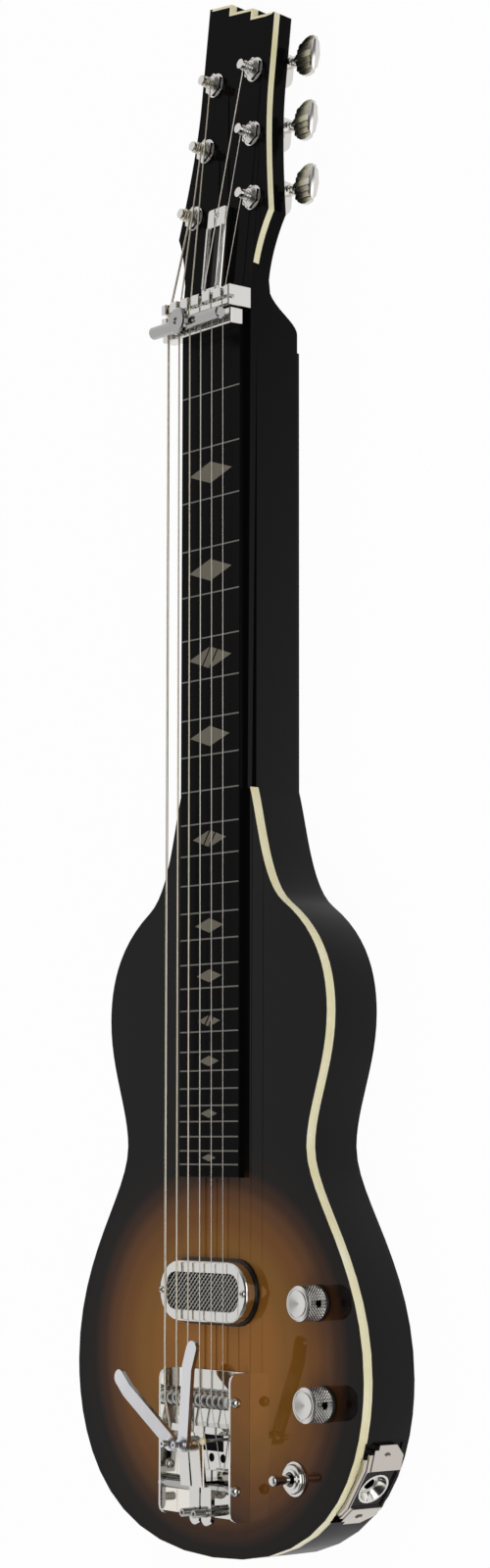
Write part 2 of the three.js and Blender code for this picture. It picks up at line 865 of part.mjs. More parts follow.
function fretboard() {
  const length = fretboardEnd + nutFront - capoTravelGap;
  const outline = boxOutline(2 * fretboardHalfWidth, length);
  const middle = (nutFront - capoTravelGap - fretboardEnd) / 2;
  const layers = [[0, 0], [fretboardHeight - fretboardEdge, 0], [fretboardHeight, fretboardEdge]];
  return layered(outline, layers).translate(0, middle, 0);
}

function controlCover() {
  return controlChain(coverLip - coverGap, -bodyThickness, -bodyThickness + coverThickness);
}

function backPad() {
  const plan = inset(bodyPlan(-padStart, 0), padInset);
  const low = -bodyThickness - padThickness;
  const pad = layered(plan, [[low, padEdge], [low + padEdge, 0], [-bodyThickness, 0]]);
  return cut(pad, controlChain(coverLip + padWindowMargin, low - overrun, overrun - bodyThickness));
}

// Nut block and capo

function nut() {
  const middle = nutFront + nutLength / 2;
  const outline = boxOutline(2 * neckHalfWidth, nutLength);
  const layers = [[0, 0], [nutHeight - nutEdge, 0], [nutHeight, nutEdge]];
  const top = layered(outline, layers).translate(0, middle, 0);
  const grooveAt = nutFront + nutRailLength + nutGrooveLength / 2;
  const groove = block(
    2 * (neckHalfWidth + overrun), nutGrooveLength, nutGrooveDepth + overrun, 0, grooveAt, nutHeight - nutGrooveDepth,
  );
  const slots = stringPlaces.flatMap(({ x, radius }) => {
    const frontWidth = 2 * (radius + nutSlotClearance);
    const rearWidth = 2 * (radius + nutRearSlotClearance);
    const seat = stringTopAtNut - 2 * radius - stringSeatGap;
    const rearFloor = nutHeight - nutRearSlotDepth;
    const front = block(frontWidth, 2 * nutRailLength, nutHeight, x, nutFront, seat);
    const rear = block(rearWidth, nutLength, nutHeight, x, grooveAt + nutLength / 2, rearFloor);
    return [front, rear];
  });
  return cut(top, groove, ...slots);
}

const capoAt = capoDepth / 2;
const capoJawLow = fretboardHeight + capoTravelGap;
const capoBarHeight = stringTopAtNut + capoTravelGap + capoBarRadius;
const thumbWheelLow = capoBarHeight + capoBarRadius + capoTravelGap;

function capoJaw() {
  const outline = roundedOutline(capoLength, capoDepth, capoJawEdge, 1);
  const top = capoJawLow + capoJawHeight;
  const jaw = layered(outline, [[capoJawLow, 0], [top - capoJawEdge, 0], [top, capoJawEdge]]);
  const holeBottom = capoJawLow + capoScrewEnd - capoTravelGap;
  const hole = rod(capoScrewRadius + capoTravelGap, holeBottom, top + overrun);
  return cut(jaw, hole).translate(capoOffset, capoAt, 0);
}

function capoBar() {
  const half = capoLength / 2;
  const tip = capoBarRadius - capoBarEdge;
  const profile = [
    [0, -half], [tip, -half], [capoBarRadius, capoBarEdge - half], [capoBarRadius, half - capoBarEdge],
    [tip, half], [0, half],
  ];
  const bar = alongX(turned(profile)).translate(0, 0, capoBarHeight);
  const hole = rod(capoScrewRadius + capoTravelGap, 0, 2 * capoBarHeight);
  return cut(bar, hole).translate(capoOffset, capoAt, 0);
}

function capoThumbscrew() {
  const edge = circleOutline(thumbWheelRadius, 2 * thumbWheelGrooves);
  const grooveScale = 1 - thumbWheelGrooveDepth / thumbWheelRadius;
  const ribbed = edge.map((p, i) => (i % 2 === 0 ? p : p.multiplyScalar(grooveScale)));
  const top = thumbWheelLow + thumbWheelHeight;
  const wheel = layered(ribbed, [
    [thumbWheelLow, capoBarEdge], [thumbWheelLow + capoBarEdge, 0], [top - capoBarEdge, 0], [top, capoBarEdge],
  ]);
  const stem = rod(capoScrewRadius, capoJawLow + capoScrewEnd, thumbWheelLow + overrun);
  const dimple = rod(thumbWheelDimpleRadius, top - thumbWheelDimpleDepth, top + overrun);
  return cut(joined(wheel, stem), dimple).translate(capoOffset, capoAt, 0);
}

// Tuning machines

const machines = ['bass', 'treble'].flatMap((side) => (
  Object.values(postInset).map((across, i) => ({
    name: `${side}_tuner_${i + 1}`,
    turn: side === 'treble' ? 1 : -1,
    x: side === 'treble' ? across : -across,
    along: headLength * (postRowShares.first + i * postRowShares.spacing),
  }))
));

function machineHoles() {
  return machines.map(({ x, along }) => (
    onHeadGeometry(moved(rod(bushingRadius + bushingHoleGap, -headThickness - overrun, overrun), x, along, 0))
  ));
}

// Case behind the headstock, with the threaded bushing, its washer and the nut on the face.
function machineHousing(turn) {
  const back = -headThickness - machineSeatGap;
  const outline = roundedOutline(machineWidth, machineLength, machineCorner, 2);
  const low = back - machineDepth;
  const casing = layered(outline, [
    [low, machineBack], [low + machineBack / 2, machineBack / 4], [low + machineBack, 0], [back, 0],
  ]).translate(turn * machineShift, wormOffset / 2, 0);
  const boss = alongX(rod(stemBossRadius, 0, machineWidth / 2 + stemBossLength))
    .rotateZ(turn > 0 ? 0 : Math.PI)
    .translate(turn * machineShift, wormOffset, back - wormDepth);
  const neck = rod(bushingRadius, back - overrun, machineSeatGap + washerHeight);
  const washer = rod(washerRadius, machineSeatGap, machineSeatGap + washerHeight, smoothSides);
  const hexLow = machineSeatGap + washerHeight;
  const hex = rod(bushingHexRadius, hexLow, hexLow + bushingHexHeight, 6);
  const domeLow = hexLow + bushingHexHeight;
  const dome = turned([
    [0, domeLow - overrun], [bushingShoulderRadius, domeLow - overrun], [bushingShoulderRadius, domeLow],
    [bushingRimRadius, domeLow + bushingDomeHeight], [0, domeLow + bushingDomeHeight],
  ]);
  const postBore = rod(postRadius + postRunGap, -postDepth - postRunGap, postHeight);
  const stemBore = alongX(rod(stemRadius + 2 * postRunGap, 0, buttonReach, boreSides))
    .rotateZ(turn > 0 ? 0 : Math.PI)
    .translate(turn * postRadius, wormOffset, back - wormDepth);
  return cut(joined(casing, boss, neck, washer, hex, dome), postBore, stemBore);
}

function machinePost() {
  return turned([
    [0, -postDepth], [postRadius, -postDepth], [postRadius, postWaistStart - postFlareHeight],
    [postWaistRadius, postWaistStart], [postWaistRadius, postWaistEnd],
    [postRadius, postWaistEnd + postFlareHeight], [postRadius, postHeight], [0, postHeight],
  ], smallSides);
}

// Stepped button: ridges run along the stem and fall away in steps to both ends.
function machineButton(turn) {
  const stepLength = buttonWidth / (2 * buttonStepCount + 1);
  const ridges = [];
  for (let step = 0; step <= buttonStepCount; step += 1) {
    const width = stepLength * (2 * (buttonStepCount - step) + 1);
    const height = buttonThickness - 2 * buttonStepHeight * (buttonStepCount - step);
    ridges.push(new THREE.BoxGeometry(buttonLength, width, height));
  }
  const oval = circleOutline(1, smoothSides).map((p) => point(p.x * buttonOvalHalf, p.y * (buttonWidth / 2)));
  const bound = slab(oval, -buttonThickness, buttonThickness).translate(buttonOvalShift, 0, 0);
  const head = shared(joined(...ridges), bound);
  const dome = new THREE.SphereGeometry(1, smallSides, boreSides / 2)
    .scale(buttonDome, buttonWidth / 2 - buttonDomeInset, buttonThickness / 2)
    .translate(buttonLength / 2, 0, 0);
  const collar = alongX(turned([
    [0, -buttonLength / 2 - buttonCollarLength], [stemRadius, -buttonLength / 2 - buttonCollarLength],
    [buttonCollarRadius, -buttonLength / 2 - buttonCollarLength / 2], [buttonCollarRadius, 0], [0, 0],
  ], smallSides));
  const stem = alongX(rod(stemRadius, postRadius + postRunGap - buttonReach, 0));
  const whole = joined(head, dome, collar, stem);
  return whole.rotateZ(turn > 0 ? 0 : Math.PI);
}

// Truss rod cover between the post rows

function rodCover() {
  const outline = roundedOutline(rodCoverWidth, rodCoverLength, rodCoverCorner);
  const plate = layered(outline, [[0, 0], [rodCoverHeight - rodRailHeight, 0], [rodCoverHeight, rodRailHeight / 2]]);
  const windowOutline = roundedOutline(rodWindowWidth, rodWindowLength, rodCoverCorner / 2);
  const window = slab(windowOutline, -overrun, 2 * rodCoverHeight)
    .translate(0, rodWindowFront + (rodWindowLength - rodCoverLength) / 2, 0);
  const rails = [-1, 1].map((side) => block(
    rodRailWidth, rodWindowLength, rodRailHeight,
    side * (rodCoverWidth / 2 - rodRailWidth - rodRailWidth / 2), rodWindowFront + (rodWindowLength - rodCoverLength) / 2, rodCoverHeight,
  ));
  return cut(joined(plate, ...rails.map((rail) => moved(rail, 0, 0, -glueLine))), window);
}

function rodInsert() {
  const outline = roundedOutline(
    rodWindowWidth - 2 * rodInsertGap, rodWindowLength - 2 * rodInsertGap, rodCoverCorner / 2 - rodInsertGap,
  );
  const top = rodCoverHeight - rodInsertDrop;
  return slab(outline, 0, top).translate(0, rodWindowFront + (rodWindowLength - rodCoverLength) / 2, 0);
}

// Strings

const machineOrder = [0, 1, 2, 5, 4, 3];
const saddleGrooveHalf = saddleGroovePitch * saddleGrooveShare;

function windingAround(machine, radius) {
  const turns = windingTurns * windingSteps;
  const coilRadius = postWaistRadius + radius + windingGap;
  const pitch = 2 * radius + windingGap;
  const bottom = Math.min(windingStart, postWaistEnd - windingDrop - radius - pitch * windingTurns);
  const points = [];
  for (let i = 0; i <= turns; i += 1) {
    const angle = -Math.PI / 2 - machine.turn * (Math.PI / 2 + (2 * Math.PI * i) / windingSteps);
    const height = bottom + (pitch * i) / windingSteps;
    points.push(onHead(
      machine.x + coilRadius * Math.cos(angle), machine.along + coilRadius * Math.sin(angle), height,
    ));
  }
  return points;
}

function guitarString(index) {
  const { x, radius } = stringPlaces[index];
  const machine = machines[machineOrder[index]];
  const wedge = Math.hypot(saddleGrooveDepth, saddleGrooveHalf) / saddleGrooveHalf;
  const saddleTop = saddleHeight + saddleRadius - saddleGrooveDepth + (radius + stringSeatGap) * wedge;
  const bent = benderStrings.includes(index);
  const anchor = bent
    ? place(x, -crankNoseAt + capoTravelGap, (crankNoseTop + crankNoseBottom) / 2)
    : place(x, -anchorAt - anchorLength - anchorStringTail, anchorSlotBottom + radius + anchorSlotGap);
  const route = [
    anchor,
    place(x, -saddleAt, saddleTop),
    place(x, nutFront + nutRailLength, stringTopAtNut - radius),
    ...windingAround(machine, radius),
  ];
  return wire(route, radius, windingSides);
}

// Pickup

function pickupCover() {
  const outline = roundedOutline(pickupLength, pickupWidth, pickupWidth / 2, cornerSteps * 2);
  const shell = layered(outline, [
    [pickupCoverLow, 0], [pickupCoverTop - pickupEdge, 0],
    [pickupCoverTop - pickupEdge / 3, pickupEdge / 3], [pickupCoverTop, pickupEdge],
  ]);
  const hollow = slab(inset(outline, pickupWall), pickupCoverLow - overrun, pickupCoverTop - pickupWall);
  const window = slab(
    roundedOutline(pickupWindowLength, pickupWindowWidth, pickupWindowCorner), 0, pickupCoverTop + overrun,
  );
  return cut(shell, hollow, window).translate(0, -pickupAt, 0);
}

function pickupGrille() {
  const outline = roundedOutline(
    pickupWindowLength + 2 * grilleMargin, pickupWindowWidth + 2 * grilleMargin, pickupWindowCorner,
  );
  const half = (grillePitch * grilleHoleShare) / 2;
  const holes = [];
  for (let across = 0; across < grilleAcross; across += 1) {
    for (let along = 0; along < grilleAlong; along += 1) {
      const x = (across - (grilleAcross - 1) / 2) * grillePitch;
      const y = (along - (grilleAlong - 1) / 2) * grillePitch;
      holes.push(new THREE.Path([point(x + half, y), point(x, y - half), point(x - half, y), point(x, y + half)]));
    }
  }
  const sheet = new THREE.Shape(outline);
  sheet.holes = holes;
  const top = pickupCoverTop - pickupWall - glueLine;
  return new THREE.ExtrudeGeometry(sheet, { depth: grilleThickness, bevelEnabled: false })
    .translate(0, -pickupAt, top - grilleThickness);
}

function pickupRing() {
  const margin = pickupRingMargin;
  const end = pickupWidth / 2 + margin;
  const outline = roundedOutline(pickupLength + 2 * margin, 2 * end, end, cornerSteps * 2);
  const ring = layered(outline, [[0, 0], [pickupCoverLow - glueLine, margin / 4]]);
  const hole = slab(inset(outline, margin + pickupRingWall), -overrun, pickupCoverLow + overrun);
  return cut(ring, hole).translate(0, -pickupAt, 0);
}

function pickupCoil() {
  const outline = roundedOutline(coilLength, coilWidth, coilWidth / 2);
  return layered(outline, [
    [-coilDepth, 0], [coilFlange - coilDepth, 0], [coilFlange - coilDepth, coilWaist],
    [coilTop - coilFlange, coilWaist], [coilTop - coilFlange, 0], [coilTop, 0],
  ]).translate(0, -pickupAt, 0);
}

// Knobs, pots and switch

function knob() {
  const edge = circleOutline(knobRadius, 2 * knobKnurls);
  const grooveScale = 1 - knobKnurlDepth / knobRadius;
  const ribbed = edge.map((p, i) => (i % 2 === 0 ? p : p.multiplyScalar(grooveScale)));
  const low = knobLift;
  const top = low + knobHeight;
  const barrel = layered(ribbed, [[low, 0], [top - knobTopEdge, 0], [top, knobTopEdge]]);
  const rim = knobRadius - knobTopEdge - knobRingWidth;
  const step = rim - knobRingWidth;
  const dish = turned([
    [0, top - knobRingDepth - knobDishDepth], [step, top - knobRingDepth - knobTopEdge / 2],
    [step, top - knobRingDepth], [rim, top - knobRingDepth], [rim, top + overrun], [0, top + overrun],
  ]);
  const bore = rod(potShaftRadius + glueLine, 0, low + knobBoreDepth);
  const recess = rod(potNutRadius + knobRunGap, 0, potNutHeight + 2 * knobRunGap, smoothSides);
  return cut(barrel, dish, bore, recess);
}

function pot() {
  const ceiling = -controlTopWall - machineSeatGap;
  const can = rod(potRadius, ceiling - potHeight, ceiling, smoothSides);
  const bushing = rod(potBushingRadius, ceiling - overrun, machineSeatGap + potNutHeight);
  const lockNut = rod(potNutRadius, machineSeatGap, machineSeatGap + potNutHeight, 6);
  const bore = rod(potShaftRadius + potShaftGap, ceiling - potHeight / 2, potNutHeight + overrun);
  return cut(joined(can, bushing, lockNut), bore);
}

function potShaft() {
  const low = -controlTopWall - potHeight / 2;
  return rod(potShaftRadius, low + potShaftGap, potShaftLength - knobRunGap);
}

function toggleSwitch() {
  const ceiling = -controlTopWall - machineSeatGap;
  const casing = layered(roundedOutline(switchBodyWidth, switchBodyLength, 1), [
    [ceiling - switchBodyDepth, 0], [ceiling, 0]]);
  const bushing = rod(switchBushingRadius, ceiling - overrun, switchBushingHeight);
  const washer = rod(switchWasherRadius, machineSeatGap, machineSeatGap + switchWasherHeight, smoothSides);
  const nutLow = machineSeatGap + switchWasherHeight;
  const ribbed = circleOutline(switchNutRadius, smoothSides);
  const ringNut = layered(ribbed, [
    [nutLow, 0], [nutLow + switchNutHeight / 2, 0], [nutLow + switchNutHeight, switchNutHeight / 4]]);
  const mouth = turned([
    [0, -controlTopWall], [batPivotRadius + potShaftGap, -controlTopWall],
    [batPivotRadius + potShaftGap, 0], [switchMouthRadius, switchBushingHeight - switchPivotDrop],
    [switchMouthRadius, switchBushingHeight + glueLine], [0, switchBushingHeight + glueLine],
  ]);
  return cut(joined(casing, bushing, washer, ringNut), mouth);
}

// The bat stands upright in its middle position and pivots on the ball in the bushing.
function toggleBat() {
  const shoulder = switchBushingHeight - switchPivotDrop;
  return turned([
    [0, -batPivotRadius - switchPivotDrop], [batRootRadius, -batRootRadius - switchPivotDrop],
    [batPivotRadius, -switchPivotDrop], [batRootRadius, 0], [batRootRadius, shoulder / 2],
    [batRadius, shoulder], [batRadius, batHeight - batTipLength], [batTipRadius, batHeight - batTipLength],
    [batTipRadius, batHeight - batDome], [batTipRadius - batDome, batHeight], [0, batHeight],
  ], smallSides);
}

// Output jack

// Outline of a bent end, from its bend outwards, with its stepped and its cut corner.
function jackEndOutline(side) {
  const y = jackPlateWidth / 2;
  const step = jackPlateStep;
  let x = jackEndLength;
  const outline = [point(0, -y), point(x - jackPlateChamfer, -y), point(x, jackPlateChamfer - y)];
  for (let below = jackStepCount; below > 0; below -= 1) {
    outline.push(point(x, y - below * step), point(x - step, y - below * step));
    x -= step;
  }
  outline.push(point(x, y), point(0, y));
  return side > 0 ? outline : outline.map((p) => point(-p.x, p.y)).reverse();
}

// Strips along the upper edge fall away as terraces.
function terraced(outline) {
  const terraces = Array.from({ length: jackStepCount }, (_, strip) => {
    const limit = jackPlateWidth / 2 - strip * jackPlateStep;
    const kept = distinct(outline.map((p) => point(p.x, Math.min(p.y, limit))));
    return slab(kept, 0, jackPlateThickness - (jackStepCount - 1 - strip) * jackTerraceDrop);
  });
  return joined(...terraces);
}

function jackPlate() {
  const middle = terraced(boxOutline(jackMiddleLength, jackPlateWidth));
  const ends = [-1, 1].map((side) => {
    const screwAt = jackEndLength - jackScrewInset;
    const screw = turned([
      [0, jackPlateThickness - overrun], [jackScrewRadius, jackPlateThickness - overrun],
      [jackScrewRadius, jackPlateThickness], [jackScrewRadius / 2, jackPlateThickness + jackScrewHeight],
      [0, jackPlateThickness + jackScrewHeight],
    ], smallSides).translate(side * screwAt, -jackScrewDrop, 0);
    return jackBent(joined(terraced(jackEndOutline(side)), screw), side);
  });
  const square = slab(
    roundedOutline(jackSquareLength, jackSquareWidth, jackSquareDepth, 2),
    jackPlateThickness - jackSquareDepth, jackPlateThickness + overrun,
  ).translate(0, -jackSquareDrop, 0);
  const hole = rod(jackCupRadius + coverGap, -jackPlateThickness, jackPlateThickness + overrun, smoothSides);
  return cut(joined(middle, ...ends), square, moved(hole, 0, -jackSquareDrop, 0));
}

// A dished metal cup in the plate's square, with the socket in the middle of its floor.
function jackCup() {
  const seat = jackPlateThickness - jackSquareDepth;
  const low = seat - jackCupDepth;
  const cup = turned([
    [0, low - jackCupFloor], [jackCupRadius - jackCupWall, low - jackCupFloor], [jackCupRadius, seat],
    [jackCupRadius, seat + jackLipHeight], [jackCupRadius - jackCupWall, seat + jackLipHeight],
    [jackNutRadius + jackCupWall, low], [0, low],
  ]);
  const barrel = rod(jackBarrelRadius, low - jackBarrelLength, low - jackCupFloor + overrun);
  const ringNut = rod(jackNutRadius, low - overrun, low + jackNutHeight, smoothSides);
  const bore = rod(jackHoleRadius, low - jackBarrelLength - overrun, seat, smoothSides);
  return cut(joined(cup, barrel, ringNut), bore).translate(0, -jackSquareDrop, 0);
}

// Bridge base: a folded channel with a window and two through holes

const benderStrings = [3, 4];

function bridgeBase() {
  const middle = -bridgeFront - bridgeLength / 2;
  const width = 2 * bridgeHalfWidth;
  const floor = block(width, bridgeLength, bridgeSheet, 0, middle, 0);
  const wallOutline = [];
  const [front, rear] = [-bridgeFront, -bridgeFront - bridgeLength];
  for (let i = 0; i <= cornerSteps; i += 1) {
    const angle = ((i / cornerSteps) * Math.PI) / 2;
    const [dy, dz] = [bridgeWallCorner * (1 - Math.cos(angle)), bridgeWallCorner * Math.sin(angle)];
    wallOutline.push([front - dy, bridgeWallHeight - bridgeWallCorner + dz]);
  }
  for (let i = 0; i <= cornerSteps; i += 1) {
    const angle = ((i / cornerSteps) * Math.PI) / 2;
    const [dy, dz] = [bridgeWallCorner * (1 - Math.sin(angle)), bridgeWallCorner * Math.cos(angle)];
    wallOutline.push([rear + dy, bridgeWallHeight - bridgeWallCorner + dz]);
  }
  wallOutline.push([rear, 0], [front, 0]);
  const wallAt = bridgeHalfWidth - bridgeSheet / 2;
  const walls = [-1, 1].map((side) => sideProfile(wallOutline, bridgeSheet, side * wallAt));
  const windowMiddle = -bridgeWindowStart - bridgeWindowLength / 2;
  const window = block(
    bridgeWindowWidth, bridgeWindowLength, bridgeWallHeight, bridgeWindowOffset, windowMiddle, -overrun,
  );
  const holes = Object.values(bridgeHolePlaces).map((x) => (
    moved(rod(bridgeHoleRadius, -overrun, bridgeSheet + overrun), x, -bridgeHoleAt, 0)
  ));
  const bores = [[saddleAt, saddleHeight], [axleAt, axleHeight]].map(([at, height]) => (
    alongX(rod(axleRadius + axleGap, -width, width)).translate(0, -at, height)
  ));
  return cut(joined(floor, ...walls), window, ...holes, ...bores);
}

// A bar held between the walls by a domed screw head on each end.
function heldBar(profileBetweenWalls, at, height) {
  const face = bridgeHalfWidth + glueLine;
  const half = [
    [axleRadius, face], [screwHeadRadius, face],
    [screwHeadShares.edge * screwHeadRadius, face + screwHeadShares.side * screwHeadHeight],
    [0, face + screwHeadHeight],
  ];
  const mirrored = half.map(([radius, x]) => [radius, -x]).reverse();
  return alongX(turned([...mirrored, ...profileBetweenWalls, ...half], smallSides)).translate(0, -at, height);
}

function saddleBar() {
  const inner = bridgeHalfWidth - bridgeSheet - saddleEndGap;
  const profile = [[axleRadius, -inner], [saddleRadius, -inner]];
  const grooves = Math.floor(inner / saddleGroovePitch);
  for (let groove = -grooves; groove <= grooves; groove += 1) {
    const x = groove * saddleGroovePitch;
    profile.push(
      [saddleRadius, x - saddleGrooveHalf], [saddleRadius - saddleGrooveDepth, x],
      [saddleRadius, x + saddleGrooveHalf],
    );
  }
  profile.push([saddleRadius, inner], [axleRadius, inner]);
  return heldBar(profile, saddleAt, saddleHeight);
}

const benderAxle = () => heldBar([], axleAt, axleHeight);

// Slotted bar that holds the ball ends; the two bender strings pass through it freely.
function stringAnchor() {
  const width = 2 * (bridgeHalfWidth - bridgeSheet - saddleEndGap);
  const height = anchorHeight - bridgeSheet - glueLine;
  const bar = block(width, anchorLength, height, 0, -anchorAt - anchorLength / 2, bridgeSheet + glueLine);
  const slots = stringPlaces.map(({ x, radius }) => block(
    2 * (radius + anchorSlotGap), anchorLength + 2 * overrun, anchorHeight, x, -anchorAt - anchorLength / 2, anchorSlotBottom,
  ));
  return cut(bar, ...slots);
}

// Bell crank: hub on the axle, tail with its stop screw, riser and forward arm for the lever,
// and a nose below the axle's front where the string is hooked.
function benderCrank(x) {
  const drum = rod(crankHubRadius, -crankWidth / 2, crankWidth / 2, smoothSides);
  const hub = alongX(drum).translate(0, -axleAt, axleHeight);
  const tailRadius = crankWidth / 2;
  const tailLow = crankTailTop - crankTailThickness;
  const tailStart = axleAt - crankHubRadius / 2;
  const tailLength = crankTailEnd - tailStart - tailRadius;
  const tail = joined(
    block(crankWidth, tailLength, crankTailThickness, 0, -tailStart - tailLength / 2, tailLow),
    moved(rod(tailRadius, tailLow, crankTailTop), 0, tailRadius - crankTailEnd, 0),
  );
  const riserFront = -axleAt + crankHubRadius;
  const arm = sideProfile([
    [riserFront - crankRiserThickness, axleHeight], [riserFront, axleHeight],
    [riserFront, crankArmLow - crankArmThickness], [-crankArmFront, crankArmHigh - crankArmThickness],
    [-crankArmFront, crankArmHigh], [riserFront - crankRiserThickness, crankArmLow],
  ], crankWidth, 0);
  const nose = sideProfile([
    [-axleAt, crankNoseBottom], [-crankNoseAt, crankNoseBottom], [-crankNoseAt, crankNoseTop],
    [-axleAt, crankNoseTop],
  ], crankWidth, 0);
  const pinTop = crankArmHigh + leverPinHeight;
  const pin = moved(rod(leverPinRadius, crankArmLow, pinTop, smoothSides), 0, -leverPinAt, 0);
  const bore = alongX(rod(axleRadius + axleGap, -crankWidth, crankWidth)).translate(0, -axleAt, axleHeight);
  const stopHole = moved(rod(stopScrewRadius + stopScrewHole, 0, stopScrewTop), 0, -stopScrewAt, 0);
  return cut(joined(hub, tail, arm, nose, pin), bore, stopHole).translate(x, 0, 0);
}

function stopScrew(x) {
  const low = bridgeSheet + stopScrewGap;
  const screw = rod(stopScrewRadius, low, stopScrewTop);
  const socket = rod(leverSocketRadius, stopScrewTop - leverSocketDepth, stopScrewTop + overrun, 6);
  return cut(screw, socket).translate(x, -stopScrewAt, 0);
}

// Palm lever: a flat chrome strip that rises gently and turns down at its tip, clamped on the
// crank's pin by a domed cap and an upright screw.
function palmLever(x, angle, leverLength) {
  const low = crankArmHigh + leverPinHeight + leverSeatGap;
  const slope = leverRise / leverLength;
  const straight = leverLength - leverTip;
  const half = leverWidth / 2;
  const side = sideProfile([
    [-half, low], [half, low], [straight, low + slope * straight],
    [leverLength, low + slope * leverLength - leverTipDrop],
    [leverLength, low + leverThickness + slope * leverLength - leverTipDrop],
    [straight, low + leverThickness + slope * straight], [half, low + leverThickness], [-half, low + leverThickness],
  ], leverWidth, 0);
  const outline = roundedOutline(leverWidth, leverLength + half, half - glueLine);
  const plan = slab(outline, 0, 2 * low).translate(0, (leverLength - half) / 2, 0);
  const capLow = low + leverThickness;
  const cap = turned([
    [0, low], [leverCapRadius, low], [leverCapRadius, capLow + leverCapHeight / 3],
    [leverCapShares.edge * leverCapRadius, capLow + leverCapShares.side * leverCapHeight],
    [leverScrewRadius, capLow + leverCapHeight],
    [leverScrewRadius, low + leverScrewHeight], [0, low + leverScrewHeight],
  ], smallSides);
  const screwTop = low + leverScrewHeight;
  const socket = rod(leverSocketRadius, screwTop - leverSocketDepth, screwTop + overrun, 6);
  return cut(joined(shared(side, plan), cap), socket).rotateZ(degrees(angle)).translate(x, -leverPinAt, 0);
}

// Assembly

piece('body', 'lacquer', body());
piece('body_binding', 'ivory', bodyBinding());
piece('headstock_binding', 'ivory', headBindingStrip(), headstock);
piece('fretboard', 'ebony', fretboard());
piece('back_pad', 'foam', backPad());
piece('control_cover', 'plastic', controlCover());

piece('nut', 'chrome', nut());
piece('capo_jaw', 'chrome', capoJaw());
piece('capo_bar', 'chrome', capoBar());
piece('capo_thumbscrew', 'chrome', capoThumbscrew());

const rodCoverMiddle = rodCoverStart + rodCoverLength / 2;
piece('rod_cover', 'chrome', rodCover(), headstock).position.set(0, rodCoverMiddle, machineSeatGap);
piece('rod_cover_insert', 'plastic', rodInsert(), headstock).position.set(0, rodCoverMiddle, machineSeatGap);

machines.forEach(({ name, turn, x, along }) => {
  const shaftHeight = -headThickness - machineSeatGap - wormDepth;
  piece(`${name}_housing`, 'chrome', machineHousing(turn), headstock).position.set(x, along, 0);
  piece(`${name}_post`, 'chrome', machinePost(), headstock).position.set(x, along, 0);
  piece(`${name}_button`, 'chrome', machineButton(turn), headstock)
    .position.set(x + turn * buttonReach, along + wormOffset, shaftHeight);
});

stringPlaces.forEach((_, i) => {
  piece(`string_${stringPlaces.length - i}`, i < 3 ? 'bronze' : 'steel', guitarString(i));
});

piece('pickup_ring', 'plastic', pickupRing());
piece('pickup_cover', 'chrome', pickupCover());
piece('pickup_grille', 'steel', pickupGrille());
piece('pickup_coil', 'plastic', pickupCoil());

[['volume', volumePlace], ['tone', tonePlace]].forEach(([name, spot]) => {
  piece(`${name}_knob`, 'chrome', knob()).position.set(spot.x, spot.y, 0);
  piece(`${name}_pot`, 'steel', pot()).position.set(spot.x, spot.y, 0);
  piece(`${name}_shaft`, 'brass', potShaft()).position.set(spot.x, spot.y, 0);
});

piece('toggle_switch', 'chrome', toggleSwitch()).position.set(togglePlace.x, togglePlace.y, 0);
piece('toggle_bat', 'chrome', toggleBat()).position.set(togglePlace.x, togglePlace.y, 0);

piece('jack_plate', 'chrome', jackPlate(), jack);
piece('jack_socket', 'chrome', jackCup(), jack);

piece('bridge_base', 'chrome', bridgeBase());
piece('saddle_bar', 'chrome', saddleBar());
piece('string_anchor', 'chrome', stringAnchor());
piece('bender_axle', 'steel', benderAxle());
Object.entries(leverAngles).forEach(([side, angle], i) => {
  const { x } = stringPlaces[benderStrings[i]];
  piece(`${side}_crank`, 'chrome', benderCrank(x));
  piece(`${side}_stop_screw`, 'steel', stopScrew(x));
  piece(`${side}_lever`, 'chrome', palmLever(x, angle, leverLengths[side]));
});

// The finished part stands on its back pad, with its origin under the middle of its box.
const tipHeight = onHead(0, headLength, 0).y;
guitar.position.set(0, (tailAt - tipHeight) / 2, bodyThickness + padThickness);

export default guitar;
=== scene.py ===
# %% [markdown]
# # A lap steel guitar with palm benders
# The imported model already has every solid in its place. This lesson dresses it: it rounds the
# edges of the metal, gives each surface its finish, and adds the small things that the solids
# leave out, such as fret lines, knurling and screw heads. The model is measured in metres, but
# sizes are written in millimetres here, and turned into metres where they are used.

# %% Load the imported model
import json
import math

import bmesh
import bpy
from mathutils import Matrix, Vector

